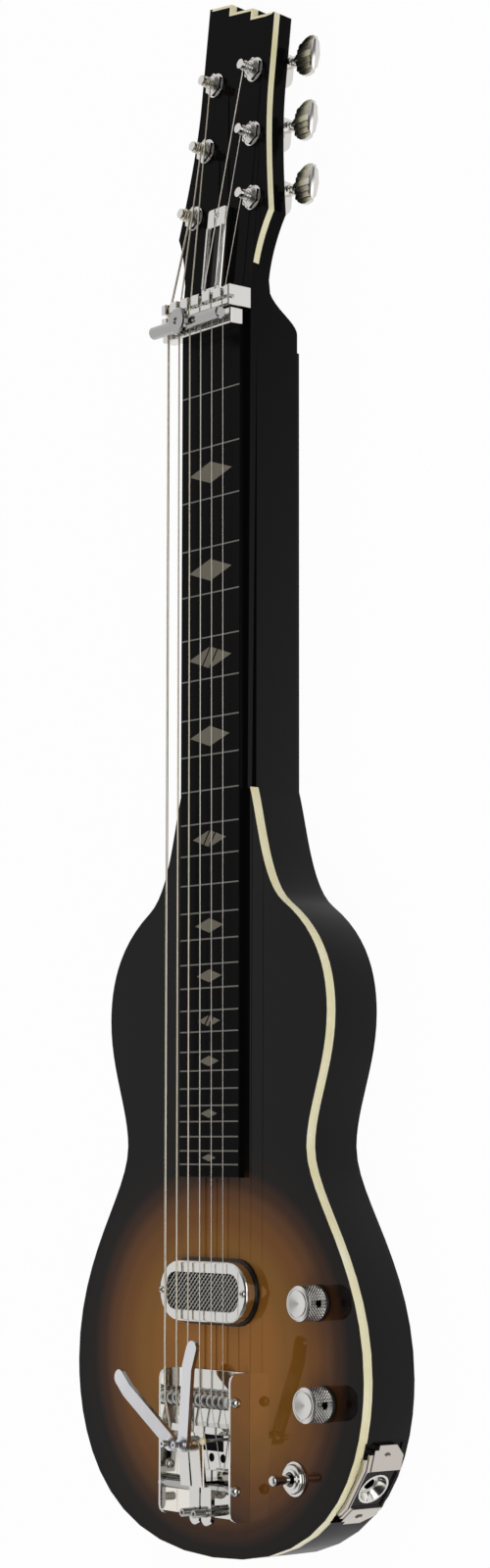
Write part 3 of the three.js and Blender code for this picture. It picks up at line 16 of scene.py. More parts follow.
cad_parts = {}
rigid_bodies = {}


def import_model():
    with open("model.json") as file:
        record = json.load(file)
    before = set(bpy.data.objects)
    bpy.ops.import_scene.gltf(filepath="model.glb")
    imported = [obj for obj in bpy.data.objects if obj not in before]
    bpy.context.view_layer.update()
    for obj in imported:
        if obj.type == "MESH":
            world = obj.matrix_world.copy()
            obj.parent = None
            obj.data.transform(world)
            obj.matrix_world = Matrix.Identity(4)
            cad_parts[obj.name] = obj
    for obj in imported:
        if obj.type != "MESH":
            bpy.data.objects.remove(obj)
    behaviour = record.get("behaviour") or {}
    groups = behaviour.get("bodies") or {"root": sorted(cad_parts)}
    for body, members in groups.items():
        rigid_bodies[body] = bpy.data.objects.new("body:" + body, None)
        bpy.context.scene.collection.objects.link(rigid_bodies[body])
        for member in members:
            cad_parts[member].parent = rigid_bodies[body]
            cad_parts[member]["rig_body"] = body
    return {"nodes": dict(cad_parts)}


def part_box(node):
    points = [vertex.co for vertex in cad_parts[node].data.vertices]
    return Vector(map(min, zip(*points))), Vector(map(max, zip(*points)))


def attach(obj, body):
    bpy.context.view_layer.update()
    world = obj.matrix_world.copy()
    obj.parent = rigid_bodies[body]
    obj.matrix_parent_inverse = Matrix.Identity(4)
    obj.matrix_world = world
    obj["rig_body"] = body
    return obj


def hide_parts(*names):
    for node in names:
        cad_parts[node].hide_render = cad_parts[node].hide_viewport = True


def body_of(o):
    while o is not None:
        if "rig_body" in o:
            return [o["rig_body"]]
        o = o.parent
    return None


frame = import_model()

MM = 0.001
nodes = frame["nodes"]
bpy.context.view_layer.update()

# %% [markdown]
# ## Places on the guitar
# A maker measures this guitar from two places: the nut, where the strings begin to sound, and
# the flat top of the body. A helper turns such millimetres into the model's own metres. A second
# helper does the same on the headstock, whose face is tilted back by six degrees. Typing metres
# from the model's corner would work too, but nobody could check such numbers with a ruler.

# %% Places on the guitar
NUT_AT = 240.512
TOP_AT = 37.4
HEAD_TILT = math.radians(6)
HEAD_TILT_AT = 22


def at(x, y, z=0.0):
    return Vector((x, y + NUT_AT, z + TOP_AT)) * MM


def on_head(x, along, above=0.0):
    cos, sin = math.cos(HEAD_TILT), math.sin(HEAD_TILT)
    return at(x, HEAD_TILT_AT + along * cos + above * sin, above * cos - along * sin)


print("nut:", at(0, 0), "top of the third pair of posts:", on_head(18.2, 135.2, 11.9))

# %% [markdown]
# ## The camera
# The photograph was taken from the treble side and from above, almost square to the strings, with
# a long lens. The camera could be turned by three angles, but their order is easy to get wrong.
# Here the direction of view is kept as a vector, and the sideways axis follows from it and from
# the direction that is up in the picture.

# %% The camera
CAMERA_PLACE = Vector((1.406476, -0.225448, 1.149853))
VIEW = Vector((-0.77334, 0.11424, -0.62362)).normalized()
UP = Vector((0.08792, 0.99345, 0.07296)).normalized()
LENS = 73.128
FILM_HEIGHT = 36
SEES_AS_FAR_AS = 50

lens = bpy.data.cameras.new("camera")
lens.sensor_fit = "VERTICAL"
lens.sensor_height = FILM_HEIGHT
lens.lens = LENS
lens.clip_end = SEES_AS_FAR_AS
camera = bpy.data.objects.new("camera", lens)
bpy.context.collection.objects.link(camera)
side = VIEW.cross(UP).normalized()
upright = side.cross(VIEW).normalized()
turn = Matrix((side, upright, -VIEW)).transposed().to_4x4()
camera.matrix_world = Matrix.Translation(CAMERA_PLACE) @ turn
bpy.context.scene.camera = camera
bpy.context.scene.view_settings.view_transform = "Standard"
print("camera looks down by", round(math.degrees(math.asin(-VIEW.z)), 1), "degrees")

# %% [markdown]
# ## Effects that several finishes share
# Polished metal, lacquer and plastic are never evenly smooth. One node group turns noise into a
# roughness that drifts between two values, and a second one makes fine ripples for the height of
# a bump. The same nodes could be laid in every material by hand. Building each group once and
# placing it in many materials keeps the finishes alike, and each still has its own values.

# %% Shared node groups
NOISE_LOW = 0.35
NOISE_HIGH = 0.7


def new_group(name, inputs, output):
    group = bpy.data.node_groups.new(name, "ShaderNodeTree")
    for label, value in inputs.items():
        socket = group.interface.new_socket(name=label, in_out="INPUT", socket_type="NodeSocketFloat")
        socket.default_value = value
    group.interface.new_socket(name=output, in_out="OUTPUT", socket_type="NodeSocketFloat")
    return group


def noise_in(group, detail):
    entry = group.nodes.new("NodeGroupInput")
    place = group.nodes.new("ShaderNodeTexCoord")
    noise = group.nodes.new("ShaderNodeTexNoise")
    noise.inputs["Detail"].default_value = detail
    group.links.new(place.outputs["Object"], noise.inputs["Vector"])
    group.links.new(entry.outputs["Scale"], noise.inputs["Scale"])
    return entry, noise


def uneven_polish():
    group = new_group("uneven_polish", {"Scale": 60, "Smooth": 0.06, "Worn": 0.14}, "Roughness")
    entry, noise = noise_in(group, 4)
    spread = group.nodes.new("ShaderNodeMapRange")
    spread.inputs["From Min"].default_value = NOISE_LOW
    spread.inputs["From Max"].default_value = NOISE_HIGH
    group.links.new(noise.outputs["Fac"], spread.inputs["Value"])
    group.links.new(entry.outputs["Smooth"], spread.inputs["To Min"])
    group.links.new(entry.outputs["Worn"], spread.inputs["To Max"])
    leave = group.nodes.new("NodeGroupOutput")
    group.links.new(spread.outputs["Result"], leave.inputs["Roughness"])
    return group


def fine_ripple():
    group = new_group("fine_ripple", {"Scale": 900}, "Height")
    entry, noise = noise_in(group, 2)
    leave = group.nodes.new("NodeGroupOutput")
    group.links.new(noise.outputs["Fac"], leave.inputs["Height"])
    return group


POLISH = uneven_polish()
RIPPLE = fine_ripple()
print("groups:", POLISH.name, RIPPLE.name)

# %% [markdown]
# ## Starting a material
# Every finish here is a Principled surface with the two effects above. Colours are written as
# they would be picked from a screen, so a helper turns them into the linear values that a shader
# works with.

# %% A finish with polish and ripples
RIPPLE_STRENGTH = 0.3


def linear(red, green, blue):
    def step(value):
        share = value / 255
        return share / 12.92 if share <= 0.04045 else ((share + 0.055) / 1.055) ** 2.4
    return (step(red), step(green), step(blue), 1.0)


def finish(name, colour, smooth, worn, metallic=0.0, specular=0.5, scale=60, ripple=900, depth=0.002):
    material = bpy.data.materials.new(name)
    material.use_nodes = True
    tree = material.node_tree
    shader = tree.nodes["Principled BSDF"]
    shader.inputs["Base Color"].default_value = linear(*colour)
    shader.inputs["Metallic"].default_value = metallic
    shader.inputs["Specular IOR Level"].default_value = specular
    polish = tree.nodes.new("ShaderNodeGroup")
    polish.node_tree = POLISH
    polish.inputs["Scale"].default_value = scale
    polish.inputs["Smooth"].default_value = smooth
    polish.inputs["Worn"].default_value = worn
    tree.links.new(polish.outputs["Roughness"], shader.inputs["Roughness"])
    ripples = tree.nodes.new("ShaderNodeGroup")
    ripples.node_tree = RIPPLE
    ripples.inputs["Scale"].default_value = ripple
    bump = tree.nodes.new("ShaderNodeBump")
    bump.inputs["Strength"].default_value = RIPPLE_STRENGTH
    bump.inputs["Distance"].default_value = depth * MM
    tree.links.new(ripples.outputs["Height"], bump.inputs["Height"])
    tree.links.new(bump.outputs["Normal"], shader.inputs["Normal"])
    return material


def add_math(tree, operation, first, second):
    node = tree.nodes.new("ShaderNodeMath")
    node.operation = operation
    for socket, value in zip(node.inputs, (first, second)):
        if isinstance(value, (int, float)):
            socket.default_value = value
        else:
            tree.links.new(value, socket)
    return node.outputs["Value"]


print("a screen grey of 128 is", round(linear(128, 128, 128)[0], 3), "in linear light")

# %% [markdown]
# ## Metals, plastics and strings
# Chrome is a mirror that is a little darker than silver. The capo's bar and the bender's axle
# are greyer. A still greyer chrome is painted shade: it darkens the bottoms of the knurl and the
# slanting faces of the jack plate's screws. The palm levers are brushed, so they are softer. All
# strings are pale wire, and the wound ones are a touch warmer. Each finish could have a picture
# wrapped round it, but these surfaces carry no pattern, so two numbers are enough: how rough they
# are where they are smooth, and how rough where they are worn.

# %% Plain finishes
chrome = finish("chrome_plate", (214, 212, 208), 0.03, 0.08, metallic=1)
dark_chrome = finish("dark_chrome", (170, 169, 167), 0.08, 0.14, metallic=1)
satin_chrome = finish("satin_chrome", (214, 212, 208), 0.16, 0.26, metallic=1)
plate_chrome = finish("plate_chrome", (192, 186, 178), 0.05, 0.1, metallic=1)
# painted shade: a darker chrome for the bottoms of the knurl and the slanting faces of the jack plate's
# screws
painted_shade_chrome = finish("painted_shade_chrome", (96, 92, 84), 0.25, 0.35, metallic=1)
lever_chrome = finish("lever_chrome", (214, 214, 217), 0.14, 0.22, metallic=1, ripple=400)
mesh_steel = finish("mesh_steel", (226, 224, 218), 0.25, 0.4, metallic=1)
steel = finish("brushed_steel", (176, 175, 172), 0.2, 0.35, metallic=1, ripple=600, depth=0.01)
plain_wire = finish("plain_string_wire", (232, 228, 218), 0.3, 0.4, metallic=1)
wound_wire = finish("wound_string_wire", (232, 224, 204), 0.32, 0.42, metallic=1)
brass = finish("turned_brass", (190, 158, 96), 0.22, 0.34, metallic=1)
black_plastic = finish("black_plastic", (16, 16, 17), 0.25, 0.4, specular=0.3)
black_enamel = finish("black_enamel", (8, 8, 9), 0.08, 0.16, specular=0.15)
rubber = finish("black_rubber", (14, 14, 14), 0.5, 0.65, specular=0.25, depth=0.02)
foam = finish("foam_pad", (20, 20, 21), 0.8, 0.95, specular=0.2, ripple=1200, depth=0.2)
ebony = finish("ebony", (9, 9, 9), 0.16, 0.26, specular=0.03, ripple=700, depth=0.004)
fret_paint = finish("fret_line", (110, 109, 104), 0.3, 0.4, specular=0.2)
pearl = finish("smoked_pearl", (104, 97, 82), 0.2, 0.34, specular=0.3)
cream = finish("cream_cap", (228, 214, 176), 0.2, 0.3)
print("materials, with those of the solids:", len(bpy.data.materials))

# %% [markdown]
# ## Ivory binding
# The binding is a strip of cream plastic, glued round the edge and scraped flush. One colour
# would look like paint, since the real strip drifts along its length from butter to bone. A slow
# noise that runs through two colours gives that without a picture.

# %% Ivory binding
IVORY = (238, 230, 192)
BUTTER = (231, 220, 172)
BONE = (243, 238, 206)
DRIFT_SCALE = 35


def ivory_material():
    material = finish("ivory_binding", IVORY, 0.2, 0.32, specular=0.3)
    tree = material.node_tree
    place = tree.nodes.new("ShaderNodeTexCoord")
    drift = tree.nodes.new("ShaderNodeTexNoise")
    drift.inputs["Scale"].default_value = DRIFT_SCALE
    ramp = tree.nodes.new("ShaderNodeValToRGB")
    for element, position, colour in zip(ramp.color_ramp.elements, (0.3, 0.7), (BUTTER, BONE)):
        element.position = position
        element.color = linear(*colour)
    tree.links.new(place.outputs["Object"], drift.inputs["Vector"])
    tree.links.new(drift.outputs["Fac"], ramp.inputs["Fac"])
    tree.links.new(ramp.outputs["Color"], tree.nodes["Principled BSDF"].inputs["Base Color"])
    return material


ivory = ivory_material()
print("binding:", ivory.name)

# %% [markdown]
# ## Sunburst lacquer
# A sunburst is sprayed: amber in the middle of the lower bout, then brown, then black towards the
# edges, up the neck and over the sides. It could be painted on a picture, which would blur when
# seen from near. Here the distance from the middle is measured as on a rounded box, so that the
# brown follows the outline of the body, and a colour ramp turns that distance into paint.

# %% The distance from the middle of the burst
BURST_MIDDLE = at(2, -579)
BURST_HALF_WIDTH = 108 * MM
BURST_HALF_LENGTH = 100 * MM
BURST_SQUARENESS = 2.1


def place_parts(tree):
    """The three coordinates of the point that is being shaded."""
    place = tree.nodes.new("ShaderNodeTexCoord")
    parts = tree.nodes.new("ShaderNodeSeparateXYZ")
    tree.links.new(place.outputs["Object"], parts.inputs["Vector"])
    return parts


def burst_distance(tree):
    parts = place_parts(tree)
    total = None
    sizes = (("X", BURST_MIDDLE.x, BURST_HALF_WIDTH), ("Y", BURST_MIDDLE.y, BURST_HALF_LENGTH))
    for axis, middle, size in sizes:
        away = add_math(tree, "ABSOLUTE", add_math(tree, "SUBTRACT", parts.outputs[axis], middle), 0)
        power = add_math(tree, "POWER", add_math(tree, "DIVIDE", away, size), BURST_SQUARENESS)
        total = power if total is None else add_math(tree, "ADD", total, power)
    return add_math(tree, "POWER", total, 1 / BURST_SQUARENESS)


print("the burst is dark", round(BURST_HALF_WIDTH / MM), "mm to either side of", BURST_MIDDLE)

# %% [markdown]
# ## Where the burst, the coat and the ivory band lie
# Only the face that looks up gets the burst. The clear coat that makes the black shine is thick
# on the body and thins out along the neck. On the real guitar the ivory strip is deeper than its
# solid, so a narrow band of ivory is painted on the body's side below it. Faces could carry
# materials of their own for this, but the coat and the band end in the middle of a face, so the
# shader decides by place and direction.

# %% Faces that look up, the thinning coat and the band
LEVEL = 0.997
GLOSS_BODY, GLOSS_HEAD = 0.3, 0.1
GLOSS_FROM, GLOSS_TO = at(0, -300).y, at(0, 50).y
BAND_LOW = at(0, 0, -6).z
BAND_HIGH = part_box("body_binding")[0][2] + 0.05 * MM
BAND_END = at(0, -264).y


def facing_up(tree):
    shape = tree.nodes.new("ShaderNodeNewGeometry")
    parts = tree.nodes.new("ShaderNodeSeparateXYZ")
    tree.links.new(shape.outputs["Normal"], parts.inputs["Vector"])
    return add_math(tree, "GREATER_THAN", parts.outputs["Z"], LEVEL)


def gloss_along(tree):
    """The clear coat is thick on the body and thins out towards the headstock."""
    spread = tree.nodes.new("ShaderNodeMapRange")
    tree.links.new(place_parts(tree).outputs["Y"], spread.inputs["Value"])
    values = {"From Min": GLOSS_FROM, "From Max": GLOSS_TO, "To Min": GLOSS_BODY, "To Max": GLOSS_HEAD}
    for label, value in values.items():
        spread.inputs[label].default_value = value
    return spread.outputs["Result"]


def on_band(tree, up):
    """The narrow strip of the body's side that lies just below the binding."""
    parts = place_parts(tree)
    high = add_math(tree, "GREATER_THAN", parts.outputs["Z"], BAND_LOW)
    low = add_math(tree, "LESS_THAN", parts.outputs["Z"], BAND_HIGH)
    near = add_math(tree, "LESS_THAN", parts.outputs["Y"], BAND_END)
    strip = add_math(tree, "MULTIPLY", add_math(tree, "MULTIPLY", high, low), near)
    upright = add_math(tree, "SUBTRACT", 1, up)
    return add_math(tree, "MULTIPLY", strip, upright)


print("painted band:", round((BAND_HIGH - BAND_LOW) / MM, 2), "mm deep")

# %% [markdown]
# ## The lacquer itself
# The paint, the band and the coat now meet in one Principled surface. The amber holds fine metal
# flake. It could be made of thousands of tiny bright dots, which turn to grain in a small
# picture, so the amber gets a share of metallic reflection instead.

# %% Sunburst lacquer
BLACK_PAINT = (11, 10, 10)
BURST = [
    (0.0, (146, 95, 36)), (0.42, (142, 92, 34)), (0.6, (126, 84, 30)), (0.79, (108, 67, 26)),
    (0.88, (90, 56, 28)), (0.97, (56, 33, 18)), (1.06, (18, 13, 11)), (1.25, BLACK_PAINT),
]
FLAKE = 0.4
BAND_DULLER_BY = 0.22
COAT_ROUGHNESS = 0.03


def blend(tree, share, first, second):
    mix = tree.nodes.new("ShaderNodeMix")
    mix.data_type = "RGBA"
    tree.links.new(share, mix.inputs["Factor"])
    for label, colour in (("A", first), ("B", second)):
        if isinstance(colour, tuple):
            mix.inputs[label].default_value = colour
        else:
            tree.links.new(colour, mix.inputs[label])
    return mix.outputs["Result"]


def lacquer_material():
    material = finish("sunburst_lacquer", BLACK_PAINT, 0.02, 0.06, specular=0, scale=12,
                      ripple=40, depth=0.004)
    tree = material.node_tree
    shader = tree.nodes["Principled BSDF"]
    ramp = tree.nodes.new("ShaderNodeValToRGB")
    ramp.color_ramp.interpolation = "EASE"
    reach = BURST[-1][0]
    stops = ramp.color_ramp.elements
    while len(stops) < len(BURST):
        stops.new(0.5)
    for stop, (distance, colour) in zip(stops, BURST):
        stop.position = distance / reach
        stop.color = linear(*colour)
    share = add_math(tree, "DIVIDE", burst_distance(tree), reach)
    tree.links.new(share, ramp.inputs["Fac"])
    up = facing_up(tree)
    band = on_band(tree, up)
    paint = blend(tree, up, linear(*BLACK_PAINT), ramp.outputs["Color"])
    tree.links.new(blend(tree, band, paint, linear(*IVORY)), shader.inputs["Base Color"])
    gloss = shader.inputs["Roughness"].links[0].from_socket
    duller = add_math(tree, "MULTIPLY", band, BAND_DULLER_BY)
    tree.links.new(add_math(tree, "ADD", gloss, duller), shader.inputs["Roughness"])
    shader.inputs["Coat Roughness"].default_value = COAT_ROUGHNESS
    tree.links.new(gloss_along(tree), shader.inputs["Coat Weight"])
    flake = add_math(tree, "SUBTRACT", 1, add_math(tree, "MINIMUM", share, 1))
    flake = add_math(tree, "MULTIPLY", flake, FLAKE)
    tree.links.new(add_math(tree, "MULTIPLY", flake, up), shader.inputs["Metallic"])
    return material


lacquer = lacquer_material()
print("burst colours:", len(BURST))

# %% [markdown]
# ## Rounded copies of the solids
# The solids have knife-sharp edges and flat facets. Real edges are broken by polishing, and it is
# this thin round that catches the light. A bevel modifier could do it on clean faces, but solids
# come as long thin triangles. So the helper copies a solid, joins its triangles into whole faces,
# rounds the sharp edges and shades the rest smooth. The copy rides on the same body and stands in
# for the solid, which stays where it is for the simulation.

# %% The helpers that clean and shade a mesh
WELD = 0.002 * MM
ONE_FACE = math.radians(0.5)
ROUND_STEPS = 2


def clean_shape(mesh, sharp, round_by):
    shape = bmesh.new()
    shape.from_mesh(mesh)
    bmesh.ops.remove_doubles(shape, verts=shape.verts, dist=WELD)
    bmesh.ops.dissolve_limit(shape, angle_limit=ONE_FACE, verts=shape.verts, edges=shape.edges)
    if round_by:
        keen = [e for e in shape.edges if e.is_manifold and e.calc_face_angle() > sharp]
        bmesh.ops.bevel(shape, geom=keen, offset=round_by * MM, segments=ROUND_STEPS, profile=0.5,
                        affect="EDGES", clamp_overlap=True)
    shape.to_mesh(mesh)
    shape.free()


def shade(mesh, sharp):
    if "custom_normal" in mesh.attributes:
        mesh.attributes.remove(mesh.attributes["custom_normal"])
    mesh.polygons.foreach_set("use_smooth", [True] * len(mesh.polygons))
    mesh.set_sharp_from_angle(angle=sharp)


print("weld distance:", WELD)

# %% [markdown]
# ## Flats that mirror flatly
# Smooth shading bends the light across a whole face when its neighbour is a narrow round, so flat
# chrome looks like a cushion. Marking every edge as sharp would take the rounds away again. The
# helper gives each corner a direction in which large faces count for more than small ones.

# %% The helper for rounded copies
ROUND_LIMIT = math.radians(50)


def steady_normals(mesh, limit):
    """Large faces keep their own direction, so that flats mirror flatly and only rounds bend."""
    normals = [face.normal.copy() for face in mesh.polygons]
    areas = [face.area for face in mesh.polygons]
    around = [[] for _ in mesh.vertices]
    for face in mesh.polygons:
        for corner in face.vertices:
            around[corner].append(face.index)
    directions = []
    for face in mesh.polygons:
        own = normals[face.index]
        for corner in face.vertices:
            total = Vector((0, 0, 0))
            for other in around[corner]:
                if normals[other].dot(own) >= math.cos(limit):
                    total += normals[other] * areas[other]
            directions.append(total.normalized())
    mesh.normals_split_custom_set(directions)


def finished(name, material, round_by=0.2, sharp=38):
    source = nodes[name]
    mesh = source.data.copy()
    clean_shape(mesh, math.radians(sharp), round_by)
    shade(mesh, math.radians(sharp))
    if round_by:
        steady_normals(mesh, ROUND_LIMIT)
    mesh.materials.clear()
    mesh.materials.append(material)
    piece = bpy.data.objects.new(f"{name}_finished", mesh)
    bpy.context.collection.objects.link(piece)
    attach(piece, body_of(source)[0])
    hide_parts(name)
    return piece


print("rounds bend over at most", round(math.degrees(ROUND_LIMIT)), "degrees")

# %% [markdown]
# ## Bindings with a sprayed upper edge
# The lacquer runs over the upper edge of the binding, so only the side of the strip shows ivory.
# At the tip of the headstock the end of the strip is bare as well. The strip could be cut into
# two pieces, but it is one strip, so its copy carries two materials, and the faces are shared
# out by the way they look. Three flat cuts first give the bare tip a clean border.

# %% Bindings with a sprayed upper edge
TIP_LENGTH = 20 * MM
TIP_HALF = 29.2 * MM
LIES_FLAT = 0.7


def bound_edge(name):
    """Only the side of the strip and its end at the headstock's tip stay bare."""
    piece = finished(name, ivory, round_by=0, sharp=30)
    piece.data.materials.append(lacquer)
    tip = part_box("headstock_binding")[1][1] - TIP_LENGTH
    shape = bmesh.new()
    shape.from_mesh(piece.data)
    cuts = [((0, tip, 0), (0, 1, 0)), ((-TIP_HALF, 0, 0), (1, 0, 0)), ((TIP_HALF, 0, 0), (1, 0, 0))]
    for point, normal in cuts:
        everything = [*shape.verts, *shape.edges, *shape.faces]
        bmesh.ops.bisect_plane(shape, geom=everything, plane_co=point, plane_no=normal)
    for face in shape.faces:
        middle = face.calc_center_median()
        bare = middle.y > tip and abs(middle.x) < TIP_HALF
        inward = face.normal.x * middle.x < 0 and abs(face.normal.z) < LIES_FLAT
        sprayed = face.normal.z > LIES_FLAT or inward
        face.material_index = 1 if sprayed and not bare else 0
    shape.to_mesh(piece.data)
    shape.free()


# %% [markdown]
# ## Body, neck and headstock
# One board carries everything. Its outline is made of smooth curves, so its copy needs no
# rounding, only smooth shading. The fretboard and the foam pad keep crisp edges too, since both
# are cut, and only the moulded cover of the cavity is rounded.

# %% The board and what is glued to it
finished("body", lacquer, round_by=0, sharp=30)
bound_edge("body_binding")
bound_edge("headstock_binding")
finished("fretboard", ebony, round_by=0)
finished("back_pad", foam, round_by=0, sharp=30)
finished("control_cover", black_plastic, round_by=0.3, sharp=30)

# %% [markdown]
# ## Pieces that the solids leave out
# Lines, markers and screws are too small or too flat for the solids, so they are built here. A
# piece could start from one of Blender's own shapes, but their sizes then hide in a scale. A mesh
# made from corners and faces has just the sizes that are written down, so one helper makes it
# and hangs it on a body, and two more give it a flat plate's shape.

# %% Building a mesh from corners and faces
def new_piece(name, corners, faces, material, body, smooth=None):
    mesh = bpy.data.meshes.new(name)
    mesh.from_pydata([tuple(corner) for corner in corners], [], faces)
    mesh.validate()
    mesh.materials.append(material)
    if smooth is not None:
        shade(mesh, math.radians(smooth))
    piece = bpy.data.objects.new(name, mesh)
    bpy.context.collection.objects.link(piece)
    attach(piece, body)
    return piece


def slab(outline, low, high):
    """Corners and faces of a flat plate, from its outline in mm."""
    count = len(outline)
    corners = [at(x, y, low) for x, y in outline] + [at(x, y, high) for x, y in outline]
    sides = [(i, (i + 1) % count, count + (i + 1) % count, count + i) for i in range(count)]
    return corners, [tuple(reversed(range(count))), tuple(range(count, 2 * count)), *sides]


def joined_slabs(outlines, low, high):
    corners, faces = [], []
    for outline in outlines:
        more, sides = slab(outline, low, high)
        faces += [tuple(i + len(corners) for i in face) for face in sides]
        corners += more
    return corners, faces


print("a square slab has", len(slab([(0, 0), (1, 0), (1, 1), (0, 1)], 0, 1)[1]), "faces")

# %% [markdown]
# ## Fret lines
# A lap steel is played with a bar, so its frets are only lines. Each sits where the string
# length has shrunk by a twelfth root of two. They could be stripes in the paint of the board, but
# its wood is one plain material, and thin plates sunk into it stay sharp from near.

# %% Fret lines
SCALE = 600
FRETBOARD_TOP = 4
FRETBOARD_HALF = 27.05
FRET_COUNT = 27
FRET_WIDTH = 0.8
FRET_INSET = 0.8
INLAY_RISE = 0.04
INLAY_DEPTH = 0.3


def fret_at(number):
    return -SCALE * (1 - 2 ** (-number / 12))


def box_outline(x, y, width, length):
    return [(x - width / 2, y - length / 2), (x + width / 2, y - length / 2),
            (x + width / 2, y + length / 2), (x - width / 2, y + length / 2)]


FRET_LENGTH = 2 * (FRETBOARD_HALF - FRET_INSET)
lines = [box_outline(0, fret_at(n), FRET_LENGTH, FRET_WIDTH) for n in range(1, FRET_COUNT + 1)]
corners, faces = joined_slabs(lines, FRETBOARD_TOP - INLAY_DEPTH, FRETBOARD_TOP + INLAY_RISE)
new_piece("fret_lines", corners, faces, fret_paint, "guitar_frame")
print("last line:", round(-fret_at(FRET_COUNT), 1), "mm from the nut")

# %% [markdown]
# ## Diamond markers
# Dark pearl diamonds show the player where the bar goes. They shrink towards the body, and those
# at the seventh, twelfth and nineteenth positions are cut by two slanted slits. The slits could
# be cut with a boolean, which is heavy for so flat a piece. Here the outline itself is cut along
# slanted lines before it becomes a plate, so first comes a helper that cuts outlines.

# %% Cutting an outline along a slanted line
def clipped(outline, inside, cross):
    """The part of a convex outline on the inner side of a line."""
    kept = []
    for i, point in enumerate(outline):
        following = outline[(i + 1) % len(outline)]
        if inside(point) >= 0:
            kept.append(point)
        if (inside(point) >= 0) != (inside(following) >= 0):
            kept.append(cross(point, following))
    return kept


def strip_of(outline, low, high, lean):
    """The part of the outline between two slanted lines, at low and high across its middle."""
    for limit, sign in ((low, 1), (high, -1)):
        def inside(p, limit=limit, sign=sign):
            return sign * (p[0] - lean * p[1] - limit)

        def cross(p, q, inside=inside):
            share = inside(p) / (inside(p) - inside(q))
            return (p[0] + share * (q[0] - p[0]), p[1] + share * (q[1] - p[1]))
        outline = clipped(outline, inside, cross)
    return outline


print("half a square:", strip_of([(0, 0), (2, 0), (2, 2), (0, 2)], 0, 1, 0))

# %% Diamond markers
MARKED = [3, 5, 7, 9, 12, 15, 17, 19, 21, 24, 27]
SLIT_MARKED = [7, 12, 19]
DIAMOND_HALF_WIDTH = 19.5
DIAMOND_HALF_LENGTH = 6.3
ROOM_FOR_A_WHOLE_ONE = 23
SLIT = 1.3
SLIT_LEAN = 0.7
SLIT_SHARE = 0.2


def diamond(number):
    """The diamonds keep their size until the space between two lines gets too short for them."""
    before, after = fret_at(number - 1), fret_at(number)
    size = min(1.0, (before - after) / ROOM_FOR_A_WHOLE_ONE)
    return (before + after) / 2, DIAMOND_HALF_WIDTH * size, DIAMOND_HALF_LENGTH * size


def marker(number):
    y, wide, tall = diamond(number)
    outline = [(wide, 0), (0, tall), (-wide, 0), (0, -tall)]
    parts = [outline]
    if number in SLIT_MARKED:
        near, far = wide * SLIT_SHARE - SLIT / 2, wide * SLIT_SHARE + SLIT / 2
        strips = ((-2 * wide, -far), (-near, near), (far, 2 * wide))
        parts = [strip_of(outline, low, high, SLIT_LEAN) for low, high in strips]
    return [[(px, py + y) for px, py in part] for part in parts]


outlines = [part for number in MARKED for part in marker(number)]
corners, faces = joined_slabs(outlines, FRETBOARD_TOP - INLAY_DEPTH, FRETBOARD_TOP + INLAY_RISE / 2)
new_piece("diamond_markers", corners, faces, pearl, "guitar_frame")
print("marker pieces:", len(outlines))

# %% [markdown]
# ## Nut, capo and rod cover
# Most of the hardware only needs its edges rounded and its finish, so the helper for rounded
# copies does all the work. The amount of rounding follows the size of the piece: a thick block is
# rounder than a thin inlay. The capo's bar and thumbscrew are greyer than the chrome beside them.

# %% Nut, capo and rod cover
finished("nut", chrome, round_by=0.3)
finished("capo_jaw", chrome, round_by=0.3)
finished("capo_bar", dark_chrome, round_by=0.3)
finished("capo_thumbscrew", dark_chrome, round_by=0.15)
finished("rod_cover", chrome, round_by=0.3)
finished("rod_cover_insert", black_enamel, round_by=0.15)

# %% [markdown]
# ## Tuning machines
# Each machine has a cast housing under the headstock, a post that the string is wound on, and a
# button to turn it by. The six are alike, so a loop dresses them all. The buttons are handled the
# most, so they get the softer chrome, and their curved flanks take a lower angle for sharp edges.

# %% Tuning machines
for side_name in ("bass", "treble"):
    for number in (1, 2, 3):
        machine = f"{side_name}_tuner_{number}"
        finished(f"{machine}_housing", chrome, round_by=0.3, sharp=28)
        finished(f"{machine}_post", chrome, round_by=0.15)
        finished(f"{machine}_button", satin_chrome, round_by=0.25, sharp=30)
print("tuning machines: 6")

# %% [markdown]
# ## Strings
# The three thin strings are plain wire, and the three thick ones are a core with a fine wire
# wound round it. The windings could be modelled, but at this distance each is far thinner than a
# pixel. A duller finish with a warmer tone says the same, and smooth shading makes the wires round.

# %% Strings
THICKEST_PLAIN = 3

for number in range(1, 7):
    wire = wound_wire if number > THICKEST_PLAIN else plain_wire
    finished(f"string_{number}", wire, round_by=0, sharp=80)
print("strings: 6")

# %% [markdown]
# ## Pickup, controls, switch and jack
# The pickup has a chrome cover in a black ring, with its coil below. Shafts of turned brass stand
# on steel pots, and the switch has a slender bat with a rounded tip. All of them are pressed or
# turned, so rounded copies are enough here, and the fine work on knobs, mesh and jack comes later.

# %% Pickup, controls, switch and jack
finished("pickup_ring", black_plastic, round_by=0.3)
finished("pickup_cover", chrome, round_by=0.3, sharp=50)
finished("pickup_coil", black_plastic, round_by=0.3)
finished("volume_pot", steel)
finished("tone_pot", steel)
finished("volume_shaft", brass)
finished("tone_shaft", brass)
finished("toggle_switch", chrome, round_by=0.15)
finished("toggle_bat", chrome, round_by=0.2, sharp=50)
finished("jack_plate", plate_chrome, round_by=0.3)
finished("jack_socket", chrome, round_by=0.2)

# %% [markdown]
# ## Bridge and benders
# The bridge is a folded channel with a saddle bar, an axle and an anchor. Two cranks turn on the
# axle, and each carries a lever for the palm and a screw that stops it. Polished sheet mirrors
# like glass, so it only needs thin rounds. The levers are brushed, which hides finger marks, and
# their curved edges are shaded with a lower angle.

